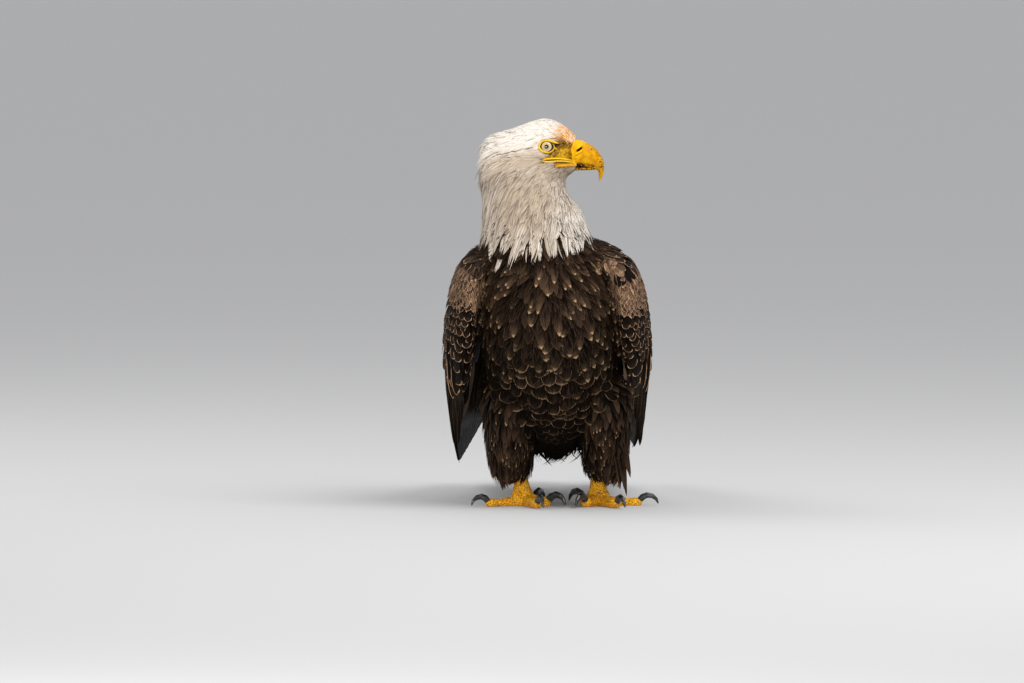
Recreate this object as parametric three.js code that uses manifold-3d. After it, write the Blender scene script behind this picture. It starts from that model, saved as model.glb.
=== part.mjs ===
// A bald eagle at life size, standing at rest on level ground.
// It faces -Y with its head turned to its own left (+X), wings hanging loosely folded.
// Millimetres, +Z up. The soles of the toes lie on z = 0.
import * as THREE from 'three';
import { mergeVertices } from 'three/addons/utils/BufferGeometryUtils.js';
import Module from 'manifold-3d';

const wasm = await Module();
wasm.setup();

// Driving sizes.
const GAP = 0.3; // cut left between neighbouring pieces
const STANCE_Y = 46; // the feet stand under the centre of mass
const EYE = { diameter: 23, x: -3.5, z: 493.8, out: 29.5 };
const BROW = { radius: 5, x: [-26, 22], z: [502, 500], out: [33, 24], rise: 4 };
const NECK_CUT = { x: 0, y: 0, z: 446, tilt: { x: 0, y: -6 } }; // degrees about each axis
const FLIGHT_CUT = { x: 0, y: 120, z: 170, tilt: { x: -128, y: 0 } };
const LEFT_WING = { liftDegrees: 3.4, shiftX: -4 }; // the left wing tip hangs a little higher
const WING_PIVOT = new THREE.Vector3(0, 60, 320);

// Modelling tolerances.
const END_SHARE = 0.12; // share of a lofted form over which each end rounds off
const RING_CROWDING = 0.7; // 0 spaces rings evenly, 1 crowds them towards the ends
const WELD = 1e-4; // vertices closer than this are one
const FLATTEN = 0.02; // slivers flatter than this are dropped after a cut
const JOIN_FLATTEN = 0.12; // and these where whole forms are joined
const BLOCK = 1500; // larger than the whole bird

const ACROSS = new THREE.Vector3(1, 0, 0);
const ALONG_BODY = new THREE.Vector3(0, 1, 0);

// Colours of the living bird.
const FINISHES = {
  white: { color: 0xe9e4d8, roughness: 0.85, metalness: 0 },
  brown: { color: 0x34261d, roughness: 0.85, metalness: 0 },
  darkBrown: { color: 0x231b17, roughness: 0.8, metalness: 0 },
  bill: { color: 0xe8a400, roughness: 0.4, metalness: 0 },
  cere: { color: 0xf0b010, roughness: 0.5, metalness: 0 },
  iris: { color: 0xd9c98c, roughness: 0.1, metalness: 0 },
  foot: { color: 0xdf9a10, roughness: 0.6, metalness: 0 },
  claw: { color: 0x1d1b1c, roughness: 0.35, metalness: 0 },
};

const eagle = new THREE.Group();

// A closed form around a row of cross sections. Each section runs from its low point to its
// high point, is half as wide as `half` says, and `bulge` bends it outwards in the middle.
function loft({ sections, side = ACROSS, around = 20, along = 18, endShare = END_SHARE }) {
  const highs = new THREE.CatmullRomCurve3(sections.map((section) => section.high));
  const lows = new THREE.CatmullRomCurve3(sections.map((section) => section.low));
  const sizes = new THREE.CatmullRomCurve3(
    sections.map(({ half, bulge = 0 }) => new THREE.Vector3(half, bulge, 0)),
  );
  const form = new THREE.SphereGeometry(1, around, along);
  const position = form.attributes.position;
  const point = new THREE.Vector3();
  for (let i = 0; i < position.count; i += 1) {
    point.fromBufferAttribute(position, i);
    const polar = Math.acos(THREE.MathUtils.clamp(point.y, -1, 1));
    const turn = Math.atan2(point.z, point.x);
    const t = THREE.MathUtils.lerp(polar / Math.PI, (1 - Math.cos(polar)) / 2, RING_CROWDING);
    const fromEnd = Math.min(1, Math.min(t, 1 - t) / endShare);
    const closing = Math.sqrt(1 - (1 - fromEnd) ** 2);
    const high = highs.getPoint(t);
    const low = lows.getPoint(t);
    const { x: half, y: bulge } = sizes.getPoint(t);
    const reach = high.clone().sub(low).multiplyScalar(0.5);
    const outward = side.clone().projectOnPlane(reach.clone().normalize()).normalize();
    const up = Math.sin(turn);
    const out = Math.cos(turn) * half * closing + bulge * (1 - up * up);
    point.addVectors(high, low).multiplyScalar(0.5);
    point.addScaledVector(reach, up * closing).addScaledVector(outward, out);
    position.setXYZ(i, point.x, point.y, point.z);
  }
  return form;
}

// A closed geometry as a solid that can be cut, with its faces pointing out.
function solidOf(geometry) {
  const bare = geometry.clone();
  bare.deleteAttribute('normal');
  bare.deleteAttribute('uv');
  const merged = mergeVertices(bare, WELD);
  const corners = merged.index.array;
  const make = (triangles) =>
    new wasm.Manifold(
      new wasm.Mesh({
        numProp: 3,
        vertProperties: new Float32Array(merged.attributes.position.array),
        triVerts: new Uint32Array(triangles),
      }),
    );
  const solid = make(corners);
  return solid.volume() > 0 ? solid : make(Array.from(corners).reverse());
}

// The geometry of a solid, for a mesh.
function geometryOf(solid) {
  const mesh = solid.getMesh();
  const geometry = new THREE.BufferGeometry();
  geometry.setAttribute('position', new THREE.BufferAttribute(mesh.vertProperties.slice(), 3));
  geometry.setIndex(new THREE.BufferAttribute(mesh.triVerts.slice(), 1));
  geometry.computeVertexNormals();
  return geometry;
}

// The same solid, larger by the gap on every side.
function grown(solid) {
  const geometry = geometryOf(solid);
  const { position, normal } = geometry.attributes;
  for (let i = 0; i < position.count; i += 1) {
    position.setXYZ(
      i,
      position.getX(i) + normal.getX(i) * GAP,
      position.getY(i) + normal.getY(i) * GAP,
      position.getZ(i) + normal.getZ(i) * GAP,
    );
  }
  return solidOf(geometry);
}

// The largest body left of a solid, without slivers.
function cleaned(solid) {
  const bodies = solid.simplify(FLATTEN).decompose();
  return bodies.reduce((best, body) => (body.volume() > best.volume() ? body : best));
}

// A solid less its neighbours and the gap around them.
function cutBy(solid, neighbours) {
  return cleaned(neighbours.reduce((body, neighbour) => body.subtract(grown(neighbour)), solid));
}

// A thin cut along a tilted plane parts a solid into what lies above it and what lies below.
function partedAt(solid, { x, y, z, tilt }) {
  return [1, -1].map((way) => {
    const block = new THREE.BoxGeometry(BLOCK, BLOCK, BLOCK);
    block.translate(0, 0, way * (BLOCK / 2 + GAP / 2));
    block.rotateX(THREE.MathUtils.degToRad(tilt.x));
    block.rotateY(THREE.MathUtils.degToRad(tilt.y));
    block.translate(x, y, z);
    return cleaned(solid.intersect(solidOf(block)));
  });
}

// Adds one named piece to the bird.
function place(name, solid, finish) {
  const mesh = new THREE.Mesh(geometryOf(solid), new THREE.MeshStandardMaterial(FINISHES[finish]));
  mesh.name = name;
  eagle.add(mesh);
}

// A point of the body's middle plane, moved sideways by x.
const inBody = (x, [y, z]) => new THREE.Vector3(x, y, z);

// A point of the turned head's middle plane, which faces the front, moved back by y.
const inHead = ([x, z], y = 0) => new THREE.Vector3(x, y, z);

// A form lofted along the head, whose sections stand in the head's middle plane.
function headLoft(sections, options) {
  const placed = sections.map(({ high, low, half, y }) => ({
    high: inHead(high, y),
    low: inHead(low, y),
    half,
  }));
  return solidOf(loft({ sections: placed, side: ALONG_BODY, ...options }));
}

// ---- Bill, cere and eyes: horn and bare skin, set into the front of the head -----------
const CERE_SECTIONS = [
  { high: [33, 503.4], low: [32, 468], half: 21.2 },
  { high: [40, 502.8], low: [38, 467.4], half: 18.8 },
  { high: [48.5, 500], low: [46, 467], half: 16.4 },
];
const UPPER_BILL_SECTIONS = [
  { high: [42, 499.5], low: [34, 465], half: 15.6 },
  { high: [52, 497.5], low: [46, 463], half: 14.4 },
  { high: [61, 492], low: [56, 461.5], half: 12.4 },
  { high: [69, 483.5], low: [63, 460.5], half: 10.2 },
  { high: [74.2, 473], low: [66.5, 459.5], half: 7.6 },
  { high: [75.2, 462], low: [67.2, 455.5], half: 5 },
  { high: [72.8, 452], low: [67.6, 449.5], half: 3 },
  { high: [69.2, 445], low: [67.8, 444.6], half: 1.2 },
];
const LOWER_BILL_SECTIONS = [
  { high: [0, 468.5], low: [2, 462], half: 17 },
  { high: [20, 468], low: [20, 459.5], half: 15 },
  { high: [38, 465.5], low: [38, 459.4], half: 12 },
  { high: [56, 463.5], low: [56, 460.4], half: 8 },
];
const cere = headLoft(CERE_SECTIONS, { around: 14, along: 6, endShare: 0.1 });
const upperBillForm = headLoft(UPPER_BILL_SECTIONS, { around: 12, along: 16, endShare: 0.06 });
const lowerBillForm = headLoft(LOWER_BILL_SECTIONS, { around: 10, along: 7 });
const eyes = [-1, 1].map((way) => {
  const ball = new THREE.SphereGeometry(EYE.diameter / 2, 12, 8);
  ball.translate(EYE.x, way * EYE.out, EYE.z);
  return solidOf(ball);
});
place('eye_right', eyes[0], 'iris');
place('eye_left', eyes[1], 'iris');
place('cere', cere, 'cere');
place('bill_upper', cutBy(upperBillForm, [cere]), 'bill');
place('bill_lower', cutBy(lowerBillForm, [cere, upperBillForm]), 'bill');

// ---- Head, neck and trunk: the head and neck are modelled whole and parted by a cut ----
const HEAD_SECTIONS = [
  { high: [-94, 489], low: [-83, 418], half: 36 },
  { high: [-77, 508], low: [-61, 420], half: 41 },
  { high: [-42, 519.5], low: [-34, 428], half: 42 },
  { high: [-8, 531.5], low: [-6, 441], half: 39 },
  { high: [15, 524.5], low: [14, 449], half: 31 },
  { high: [30, 513], low: [30, 455], half: 23 },
  { high: [42, 502], low: [42, 458], half: 18 },
];
const NECK_SECTIONS = [
  { high: [34, 316], low: [-64, 316], half: 54, y: -10 },
  { high: [60, 341], low: [-93, 344], half: 85, y: -9 },
  { high: [55, 373], low: [-90, 375], half: 73, y: -5 },
  { high: [45, 405], low: [-89, 405], half: 61, y: -3 },
  { high: [21.5, 435], low: [-90, 435], half: 49, y: 0 },
  { high: [25.5, 458], low: [-94, 466], half: 42, y: 0 },
  { high: [8, 484], low: [-78, 490], half: 32, y: 0 },
];
const TRUNK_SECTIONS = [
  { breast: [-45, 395], back: [42, 405], half: 50, x: -12 },
  { breast: [-85, 338], back: [74, 360], half: 81, x: -8 },
  { breast: [-104, 275], back: [112, 316], half: 95, x: -2 },
  { breast: [-97, 205], back: [144, 260], half: 96, x: 2 },
  { breast: [-66, 138], back: [172, 210], half: 84, x: 6 },
  { breast: [4, 88], back: [194, 168], half: 64, x: 8 },
  { breast: [86, 66], back: [212, 142], half: 48, x: 8 },
  { breast: [160, 82], back: [228, 124], half: 32, x: 6 },
];
const headForm = headLoft(HEAD_SECTIONS, { around: 18, along: 14, endShare: 0.08 });
const neckForm = headLoft(NECK_SECTIONS, { around: 20, along: 12, endShare: 0.16 });
const trunkSections = TRUNK_SECTIONS.map(({ breast, back, half, x }) => ({
  high: inBody(x, back),
  low: inBody(x, breast),
  half,
}));
const trunkForm = solidOf(loft({ sections: trunkSections, around: 24, along: 18 }));

// The brow is a ridge that shades each eye.
const brows = [-1, 1].map((way) => {
  const middle = BROW.x.map((x, i) => new THREE.Vector3(x, way * BROW.out[i], BROW.z[i]));
  const peak = middle[0].clone().lerp(middle[1], 0.5);
  peak.y += way * BROW.rise;
  const sections = [middle[0], peak, middle[1]].map((centre) => ({
    high: centre.clone().add(new THREE.Vector3(0, 0, BROW.radius)),
    low: centre.clone().sub(new THREE.Vector3(0, 0, BROW.radius)),
    half: BROW.radius,
  }));
  return solidOf(loft({ sections, side: ALONG_BODY, around: 8, along: 7, endShare: 0.4 }));
});

const headAndNeck = [neckForm, ...brows].reduce((body, form) => body.add(form), headForm);
const [head, neck] = partedAt(headAndNeck.simplify(JOIN_FLATTEN), NECK_CUT);
place('head', cutBy(head, [cere, upperBillForm, lowerBillForm, ...eyes]), 'white');
place('neck', neck, 'white');
place('trunk', cutBy(trunkForm, [neckForm, headForm]), 'brown');

// ---- Tail: twelve long feathers held as one flat fan -----------------------------------
const TAIL_SECTIONS = [
  { top: [150, 165], under: [145, 132], half: 30 },
  { top: [205, 148], under: [200, 122], half: 38 },
  { top: [290, 128], under: [288, 112], half: 47 },
  { top: [370, 111], under: [369, 102], half: 55 },
  { top: [432, 99], under: [431, 94], half: 50 },
];
const TAIL_X = 4;
const tailSections = TAIL_SECTIONS.map(({ top, under, half }) => ({
  high: inBody(TAIL_X, top),
  low: inBody(TAIL_X, under),
  half,
}));
const tailForm = solidOf(loft({ sections: tailSections, around: 14, along: 12 }));
place('tail', cutBy(tailForm, [trunkForm]), 'white');

// ---- Wings: each is a cambered plate that wraps the flank ------------------------------
// Sections of the right wing, on the -X side, from the shoulder to the tip. The edge is the
// leading one, low and in front; the back is the upper one, which lies over the trunk.
const WING_SECTIONS = [
  { edge: [-66, -34, 356], back: [-34, 28, 374], half: 12, bulge: 6 },
  { edge: [-100, -72, 322], back: [-36, 74, 362], half: 22, bulge: 26 },
  { edge: [-108, -84, 283], back: [-33, 120, 322], half: 27, bulge: 34 },
  { edge: [-112, -68, 230], back: [-34, 166, 276], half: 27, bulge: 39 },
  { edge: [-118, -18, 174], back: [-38, 212, 228], half: 23, bulge: 39 },
  { edge: [-124, 60, 130], back: [-46, 258, 186], half: 18, bulge: 34 },
  { edge: [-128, 152, 98], back: [-60, 304, 146], half: 13, bulge: 24 },
  { edge: [-129, 262, 66], back: [-82, 352, 106], half: 9, bulge: 13 },
  { edge: [-126, 362, 40], back: [-104, 404, 68], half: 6, bulge: 5 },
  { edge: [-125, 440, 30], back: [-123, 448, 37], half: 3, bulge: 0 },
];

function wingForm({ way, liftDegrees = 0, shiftX = 0 }) {
  const settle = ([x, y, z]) =>
    new THREE.Vector3(-way * x + shiftX, y, z)
      .sub(WING_PIVOT)
      .applyAxisAngle(ACROSS, THREE.MathUtils.degToRad(liftDegrees))
      .add(WING_PIVOT);
  const sections = WING_SECTIONS.map(({ edge, back, half, bulge }) => ({
    high: settle(back),
    low: settle(edge),
    half,
    bulge,
  }));
  const side = new THREE.Vector3(way, 0, 0);
  return solidOf(loft({ sections, side, around: 16, along: 19, endShare: 0.06 }));
}

const wingForms = [
  { side: 'right', way: -1 },
  { side: 'left', way: 1, ...LEFT_WING },
].map(({ side, ...pose }) => {
  const form = wingForm(pose);
  const [flight, coverts] = partedAt(cutBy(form, [trunkForm, neckForm, tailForm]), FLIGHT_CUT);
  place(`wing_${side}_coverts`, coverts, 'brown');
  place(`wing_${side}_flight`, flight, 'darkBrown');
  return form;
});

// ---- Thighs: feathered trousers, narrowing to the shank --------------------------------
const THIGH_SECTIONS = [
  { front: -26, rear: 118, z: 195, half: 36 },
  { front: -46, rear: 118, z: 150, half: 40 },
  { front: -42, rear: 114, z: 112, half: 38 },
  { front: -20, rear: 104, z: 76, half: 34 },
  { front: 10, rear: 92, z: 50, half: 28 },
  { front: 26, rear: 80, z: 34, half: 20 },
];
// Each leg, with its toes' headings in degrees from straight ahead (+ is outwards).
const LEGS = [
  {
    side: 'right',
    way: -1,
    thighX: -54,
    cuffX: -50,
    shankX: -39,
    footX: -34,
    headings: { hind: -152, inner: -57, middle: -18, outer: 62 },
  },
  {
    side: 'left',
    way: 1,
    thighX: 75,
    cuffX: 76,
    shankX: 66,
    footX: 68.5,
    headings: { hind: -138, inner: -28, middle: 24, outer: 86 },
  },
];

const thighForms = LEGS.map(({ side, thighX, cuffX }) => {
  const last = THIGH_SECTIONS.length - 1;
  const sections = THIGH_SECTIONS.map(({ front, rear, z, half }, i) => {
    const x = THREE.MathUtils.lerp(thighX, cuffX, i / last);
    return { high: inBody(x, [front, z]), low: inBody(x, [rear, z]), half };
  });
  const form = solidOf(loft({ sections, around: 14, along: 10 }));
  place(`thigh_${side}`, cutBy(form, [trunkForm, ...wingForms]), 'brown');
  return form;
});

// ---- Shanks, toes and claws ------------------------------------------------------------
// Shank sections: how far in front of and behind the stance line, and half their width.
const SHANK_SECTIONS = [
  { ahead: -2, behind: 30, z: 78, half: 9 },
  { ahead: 4, behind: 20, z: 44, half: 8.6 },
  { ahead: 11, behind: 15, z: 22, half: 12.2 },
  { ahead: 16, behind: 15, z: 9, half: 18 },
  { ahead: 15, behind: 13, z: -3, half: 18 },
];
const SHANK_TOP = 44; // height from which a shank leans towards the middle of its foot
// Each toe's length and girth, and the radius that its claw curls round.
const TOES = [
  { name: 'hind', length: 36, radius: 9, curl: 15.5 },
  { name: 'inner', length: 44, radius: 9, curl: 14.5 },
  { name: 'middle', length: 64, radius: 8.6, curl: 13.5 },
  { name: 'outer', length: 60, radius: 7.1, curl: 13.5 },
];
const TOE_STEPS = 6;
const TOE_TAPER = 0.26;
const KNUCKLES = { count: 2.5, swell: 0.14 };
const SOLE_SHARE = 0.12; // share of a toe's height that its flat sole cuts off
const CLAW_STEPS = 6;
const CLAW_RISE = THREE.MathUtils.degToRad(70); // how steeply a claw leaves its toe
const CLAW_ROOT = { depth: 5, height: 0.76 }; // how deep in the toe; height as a share of its radius
const CLAW_GIRTH = 0.56; // share of the toe's radius
const CLAW_TAPER = 2.3;
const CLAW_FLATNESS = 0.82; // a claw is narrower than it is deep
const CLAW_POINT = 0.8; // half thickness of the point, which just clears the ground

const ground = new THREE.BoxGeometry(BLOCK, BLOCK, BLOCK);
ground.translate(0, 0, -BLOCK / 2);
const belowGround = solidOf(ground);

// One toe along +X from the middle of the foot, knuckled, with a flat sole.
function toeForm({ length, radius }) {
  const sections = [];
  for (let i = 0; i <= TOE_STEPS; i += 1) {
    const t = i / TOE_STEPS;
    const knuckle = 1 + KNUCKLES.swell * Math.cos(t * Math.PI * 2 * KNUCKLES.count);
    const half = radius * (1 - TOE_TAPER * t) * knuckle;
    sections.push({
      high: new THREE.Vector3(t * length, 0, 2 * half * (1 - SOLE_SHARE)),
      low: new THREE.Vector3(t * length, 0, -2 * half * SOLE_SHARE),
      half,
    });
  }
  return loft({ sections, side: ALONG_BODY, around: 8, along: 8 });
}

// One claw, curling from the end of the toe down to the ground.
function clawForm({ length, radius, curl }) {
  const rootHeight = radius * CLAW_ROOT.height;
  const drop = (rootHeight - 2 * CLAW_POINT) / curl;
  const fall = Math.acos(Math.cos(CLAW_RISE) - drop);
  const sections = [];
  for (let i = 0; i <= CLAW_STEPS; i += 1) {
    const t = i / CLAW_STEPS;
    const angle = THREE.MathUtils.lerp(CLAW_RISE, -fall, t);
    const half = radius * CLAW_GIRTH * (1 - t ** CLAW_TAPER) + CLAW_POINT;
    const centre = new THREE.Vector3(
      length - CLAW_ROOT.depth + curl * (Math.sin(CLAW_RISE) - Math.sin(angle)),
      0,
      rootHeight + curl * (Math.cos(angle) - Math.cos(CLAW_RISE)),
    );
    const up = new THREE.Vector3(Math.sin(-angle), 0, Math.cos(angle)).multiplyScalar(half);
    sections.push({
      high: centre.clone().add(up),
      low: centre.clone().sub(up),
      half: half * CLAW_FLATNESS,
    });
  }
  return loft({ sections, side: ALONG_BODY, around: 7, along: 7, endShare: 0.05 });
}

LEGS.forEach(({ side, way, shankX, footX, headings }, leg) => {
  const shankSections = SHANK_SECTIONS.map(({ ahead, behind, z, half }) => {
    const x = THREE.MathUtils.lerp(footX, shankX, THREE.MathUtils.clamp(z / SHANK_TOP, 0, 1));
    return {
      high: inBody(x, [STANCE_Y - ahead, z]),
      low: inBody(x, [STANCE_Y + behind, z]),
      half,
    };
  });
  const shank = solidOf(loft({ sections: shankSections, around: 12, along: 8 }));
  const standing = shank.subtract(belowGround);
  place(`shank_${side}`, cutBy(standing, [thighForms[leg]]), 'foot');
  const done = [standing];
  TOES.forEach((toe) => {
    const setDown = (geometry) => {
      geometry.rotateZ(THREE.MathUtils.degToRad(way * headings[toe.name] - 90));
      geometry.translate(footX, STANCE_Y, 0);
      return solidOf(geometry).subtract(belowGround);
    };
    const toeSolid = setDown(toeForm(toe));
    const clawSolid = setDown(clawForm(toe));
    place(`toe_${side}_${toe.name}`, cutBy(toeSolid, done), 'foot');
    place(`claw_${side}_${toe.name}`, cutBy(clawSolid, [...done, toeSolid]), 'claw');
    done.push(toeSolid, clawSolid);
  });
});

// The origin is on the ground under the middle of the bird.
const middle = new THREE.Box3().setFromObject(eagle).getCenter(new THREE.Vector3());
eagle.position.set(-middle.x, -middle.y, 0);

export default eagle;
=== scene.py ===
import math

import bpy
import numpy as np
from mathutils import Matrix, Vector
from mathutils.bvhtree import BVHTree
from mathutils.kdtree import KDTree


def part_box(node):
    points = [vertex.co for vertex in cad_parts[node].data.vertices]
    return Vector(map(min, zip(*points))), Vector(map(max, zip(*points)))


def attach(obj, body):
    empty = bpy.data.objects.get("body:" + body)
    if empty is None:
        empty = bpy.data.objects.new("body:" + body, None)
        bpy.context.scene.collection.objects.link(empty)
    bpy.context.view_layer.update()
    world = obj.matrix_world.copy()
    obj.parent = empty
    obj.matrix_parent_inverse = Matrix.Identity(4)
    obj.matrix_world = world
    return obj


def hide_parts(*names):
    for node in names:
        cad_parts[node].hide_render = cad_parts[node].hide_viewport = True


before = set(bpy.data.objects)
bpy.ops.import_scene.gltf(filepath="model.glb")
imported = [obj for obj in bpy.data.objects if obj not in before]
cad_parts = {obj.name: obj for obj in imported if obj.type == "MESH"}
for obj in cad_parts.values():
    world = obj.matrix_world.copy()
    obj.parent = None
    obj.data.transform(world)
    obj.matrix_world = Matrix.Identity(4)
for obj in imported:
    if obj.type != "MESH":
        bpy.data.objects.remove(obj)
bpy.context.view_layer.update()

# ---- Camera -----------------------------------------------------------------------------
# The bird is looked at from in front, level with its breast, through a long lens a good
# way off. It stands a little to the right of the middle of the frame.
MM = 0.001
EYES_AHEAD = -3.5  # mm from the upright axis of the neck, on which the places below count
VIEW_WIDTH = 1.393
VIEW_DISTANCE = 15.0
VIEW_RISE = math.radians(3.5)
AIM = (-50.3, 0, 226.8)


def middle_of(*nodes):
    corners = [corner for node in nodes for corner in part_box(node)]
    return sum(corners, Vector()) / len(corners)


eyes_middle = middle_of("eye_right", "eye_left")
axis_foot = Vector((eyes_middle.x - EYES_AHEAD * MM, eyes_middle.y, 0))


def place(x, y, z):
    """A point given in mm from the ground under the neck: x to the bird's left, y back, z up."""
    return axis_foot + Vector((x, y, z)) * MM


bpy.ops.object.camera_add(
    location=place(*AIM)
    + VIEW_DISTANCE * Vector((0, -math.cos(VIEW_RISE), math.sin(VIEW_RISE))),
    rotation=(math.pi / 2 - VIEW_RISE, 0, 0),
)
camera = bpy.context.object
camera.data.angle = 2 * math.atan(VIEW_WIDTH / 2 / VIEW_DISTANCE)
camera.data.clip_end = 100
bpy.context.scene.camera = camera
bpy.context.scene.view_settings.view_transform = "Standard"

# ---- Skin -------------------------------------------------------------------------------
# One skin runs over head, neck, trunk, thighs and wings without a seam. It is thin and
# loose, hidden under the plumage but for the bare face, and follows the flesh below.
HEAD, NECK, TRUNK, THIGH, WING, FLIGHT = range(6)
REGION_OF = {
    "head": HEAD, "neck": NECK, "trunk": TRUNK, "thigh_right": THIGH, "thigh_left": THIGH,
    "wing_right_coverts": WING, "wing_left_coverts": WING,
    "wing_right_flight": FLIGHT, "wing_left_flight": FLIGHT,
}
FLESH = [node for node, region in REGION_OF.items() if region != FLIGHT]
COAT_DEPTH = {HEAD: 3.0, NECK: 9.0, TRUNK: 9.0, THIGH: 8.0, WING: 5.0, FLIGHT: 5.0}
BARE_DEPTH = 0.8
EYE_OPENING = (-3.7, 493.8)  # x and z of the middle of the eye's opening
SKIN_GRAIN = 3.0


def choose(*pieces):
    """Selects these objects alone, and makes the first one active."""
    bpy.ops.object.select_all(action="DESELECT")
    for piece in pieces:
        piece.select_set(True)
    bpy.context.view_layer.objects.active = pieces[0]


def twin_of(*nodes):
    """The shapes of CAD nodes as one new object, with their loose faces merged."""
    twins = []
    for node in nodes:
        twin = bpy.data.objects.new("twin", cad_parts[node].data.copy())
        twin.data.materials.clear()
        bpy.context.scene.collection.objects.link(twin)
        twins.append(twin)
    choose(*twins)
    if len(twins) > 1:
        bpy.ops.object.join()
    twin = bpy.context.object
    bpy.ops.object.mode_set(mode="EDIT")
    bpy.ops.mesh.select_all(action="SELECT")
    bpy.ops.mesh.remove_doubles(threshold=0.01 * MM)
    bpy.ops.object.mode_set(mode="OBJECT")
    return twin


def modify(piece, kind, **settings):
    """Adds a modifier with these settings and applies it."""
    choose(piece)
    modifier = piece.modifiers.new(kind, kind)
    for name, value in settings.items():
        setattr(modifier, name, value)
    bpy.ops.object.modifier_apply(modifier=modifier.name)


def smooth_twin(name, nodes, grain, rounds):
    """One smooth closed piece over some CAD nodes."""
    piece = twin_of(*nodes)
    modify(piece, "REMESH", mode="VOXEL", voxel_size=grain * MM)
    modify(piece, "SMOOTH", factor=0.5, iterations=rounds)
    piece.name = name
    choose(piece)
    bpy.ops.object.shade_smooth()
    return piece


def points_of(piece):
    points = np.empty(3 * len(piece.data.vertices), np.float32)
    piece.data.vertices.foreach_get("co", points)
    return points.reshape(-1, 3).astype(float)


def normals_of(piece):
    normals = np.empty(3 * len(piece.data.vertices), np.float32)
    piece.data.vertices.foreach_get("normal", normals)
    return normals.reshape(-1, 3).astype(float)


def move_points(piece, points):
    piece.data.vertices.foreach_set("co", points.astype(np.float32).ravel())
    piece.data.update()


def in_mm(points):
    """World points as mm from the ground under the neck, one row each for x, y and z."""
    return (np.asarray(points) - np.array(axis_foot)).T / MM


def ramp(value, start, end):
    """0 before start, 1 after end, and a smooth step between them."""
    t = np.clip((value - start) / (end - start), 0, 1)
    return t * t * (3 - 2 * t)


def from_eye(x, z):
    """How far a place is from the middle of the long opening of the eye."""
    return np.hypot((x - EYE_OPENING[0]) / 1.2, z - EYE_OPENING[1])


def bareness(x, y, z):
    """1 on the bare skin round the eye, between eye and bill, and along gape and jaw."""
    eye = 1 - ramp(from_eye(x, z), 7.2, 8.6)
    corner = 1 - ramp(np.hypot((x - 9) / 1.3, z - 494.5), 3.5, 5.5)
    top = 496 + 3 * ramp(x, 6, 10) * (1 - ramp(x, 22, 28))
    lore = ramp(x - 0.55 * (z - 478), -4, 0) * ramp(z, 474, 476) * (1 - ramp(z, top, top + 3))
    gape = ramp(x, -10, -8) * ramp(z, 470.5, 472) * (1 - ramp(z, 478, 479.5))
    jaw = ramp(x, 8, 13) * ramp(z, 464.5, 466) * (1 - ramp(z, 472, 474))
    before_bill = (1 - ramp(x, 40, 44)) * ramp(np.abs(y), 6, 12)
    return np.maximum.reduce([eye, corner, lore, gape, jaw]) * before_bill


class Form:
    """A smooth closed form over some nodes, on which places, normals and regions are read."""

    def __init__(self, *nodes):
        self.piece = smooth_twin("form", nodes, SKIN_GRAIN, 8)
        self.points = points_of(self.piece)
        self.faces = np.array([tuple(face.vertices) for face in self.piece.data.polygons])
        self.corners = self.points[self.faces]
        self.middles = self.corners.mean(1)
        normals = normals_of(self.piece)[self.faces].mean(1)
        self.normals = normals / np.linalg.norm(normals, axis=1, keepdims=True)
        diagonals = self.corners[:, 2:] - self.corners[:, :2]
        self.areas = np.linalg.norm(np.cross(diagonals[:, 0], diagonals[:, 1]), axis=1) / 2 / MM**2
        self.tree = BVHTree.FromPolygons(self.points.tolist(), self.faces.tolist())
        self.regions = self.nearest_regions(nodes)

    def nearest_regions(self, nodes):
        """For each face, the region of the node whose surface is nearest."""
        points, faces, regions = [], [], []
        for node in nodes:
            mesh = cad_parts[node].data
            start = len(points)
            points += [vertex.co for vertex in mesh.vertices]
            faces += [[start + corner for corner in face.vertices] for face in mesh.polygons]
            regions += [REGION_OF[node]] * len(mesh.polygons)
        tree = BVHTree.FromPolygons(points, faces)
        return np.array([regions[tree.find_nearest(Vector(m))[2]] for m in self.middles])

    def nearest(self, points):
        """The nearest points of the form, and its normals there."""
        found = [self.tree.find_nearest(point) for point in points.tolist()]
        faces = [face for _, _, face, _ in found]
        return np.array([tuple(near) for near, _, _, _ in found]), self.normals[faces]


outer_form = Form(*REGION_OF)
flesh_form = Form(*FLESH)

# The skin lies inside the flesh's form by the depth of the coat, evened out over the body.
face_depths = np.array([COAT_DEPTH[region] for region in flesh_form.regions])
for _ in range(6):
    depths = np.zeros(len(flesh_form.points))
    shares = np.zeros(len(flesh_form.points))
    for corner in range(4):
        np.add.at(depths, flesh_form.faces[:, corner], face_depths)
        np.add.at(shares, flesh_form.faces[:, corner], 1)
    depths /= shares
    face_depths = depths[flesh_form.faces].mean(1)
depths += (BARE_DEPTH - depths) * bareness(*in_mm(flesh_form.points))
skin = flesh_form.piece
skin.name = "skin"
move_points(skin, flesh_form.points - normals_of(skin) * depths[:, None] * MM)
modify(skin, "SMOOTH", factor=0.5, iterations=2)


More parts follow.
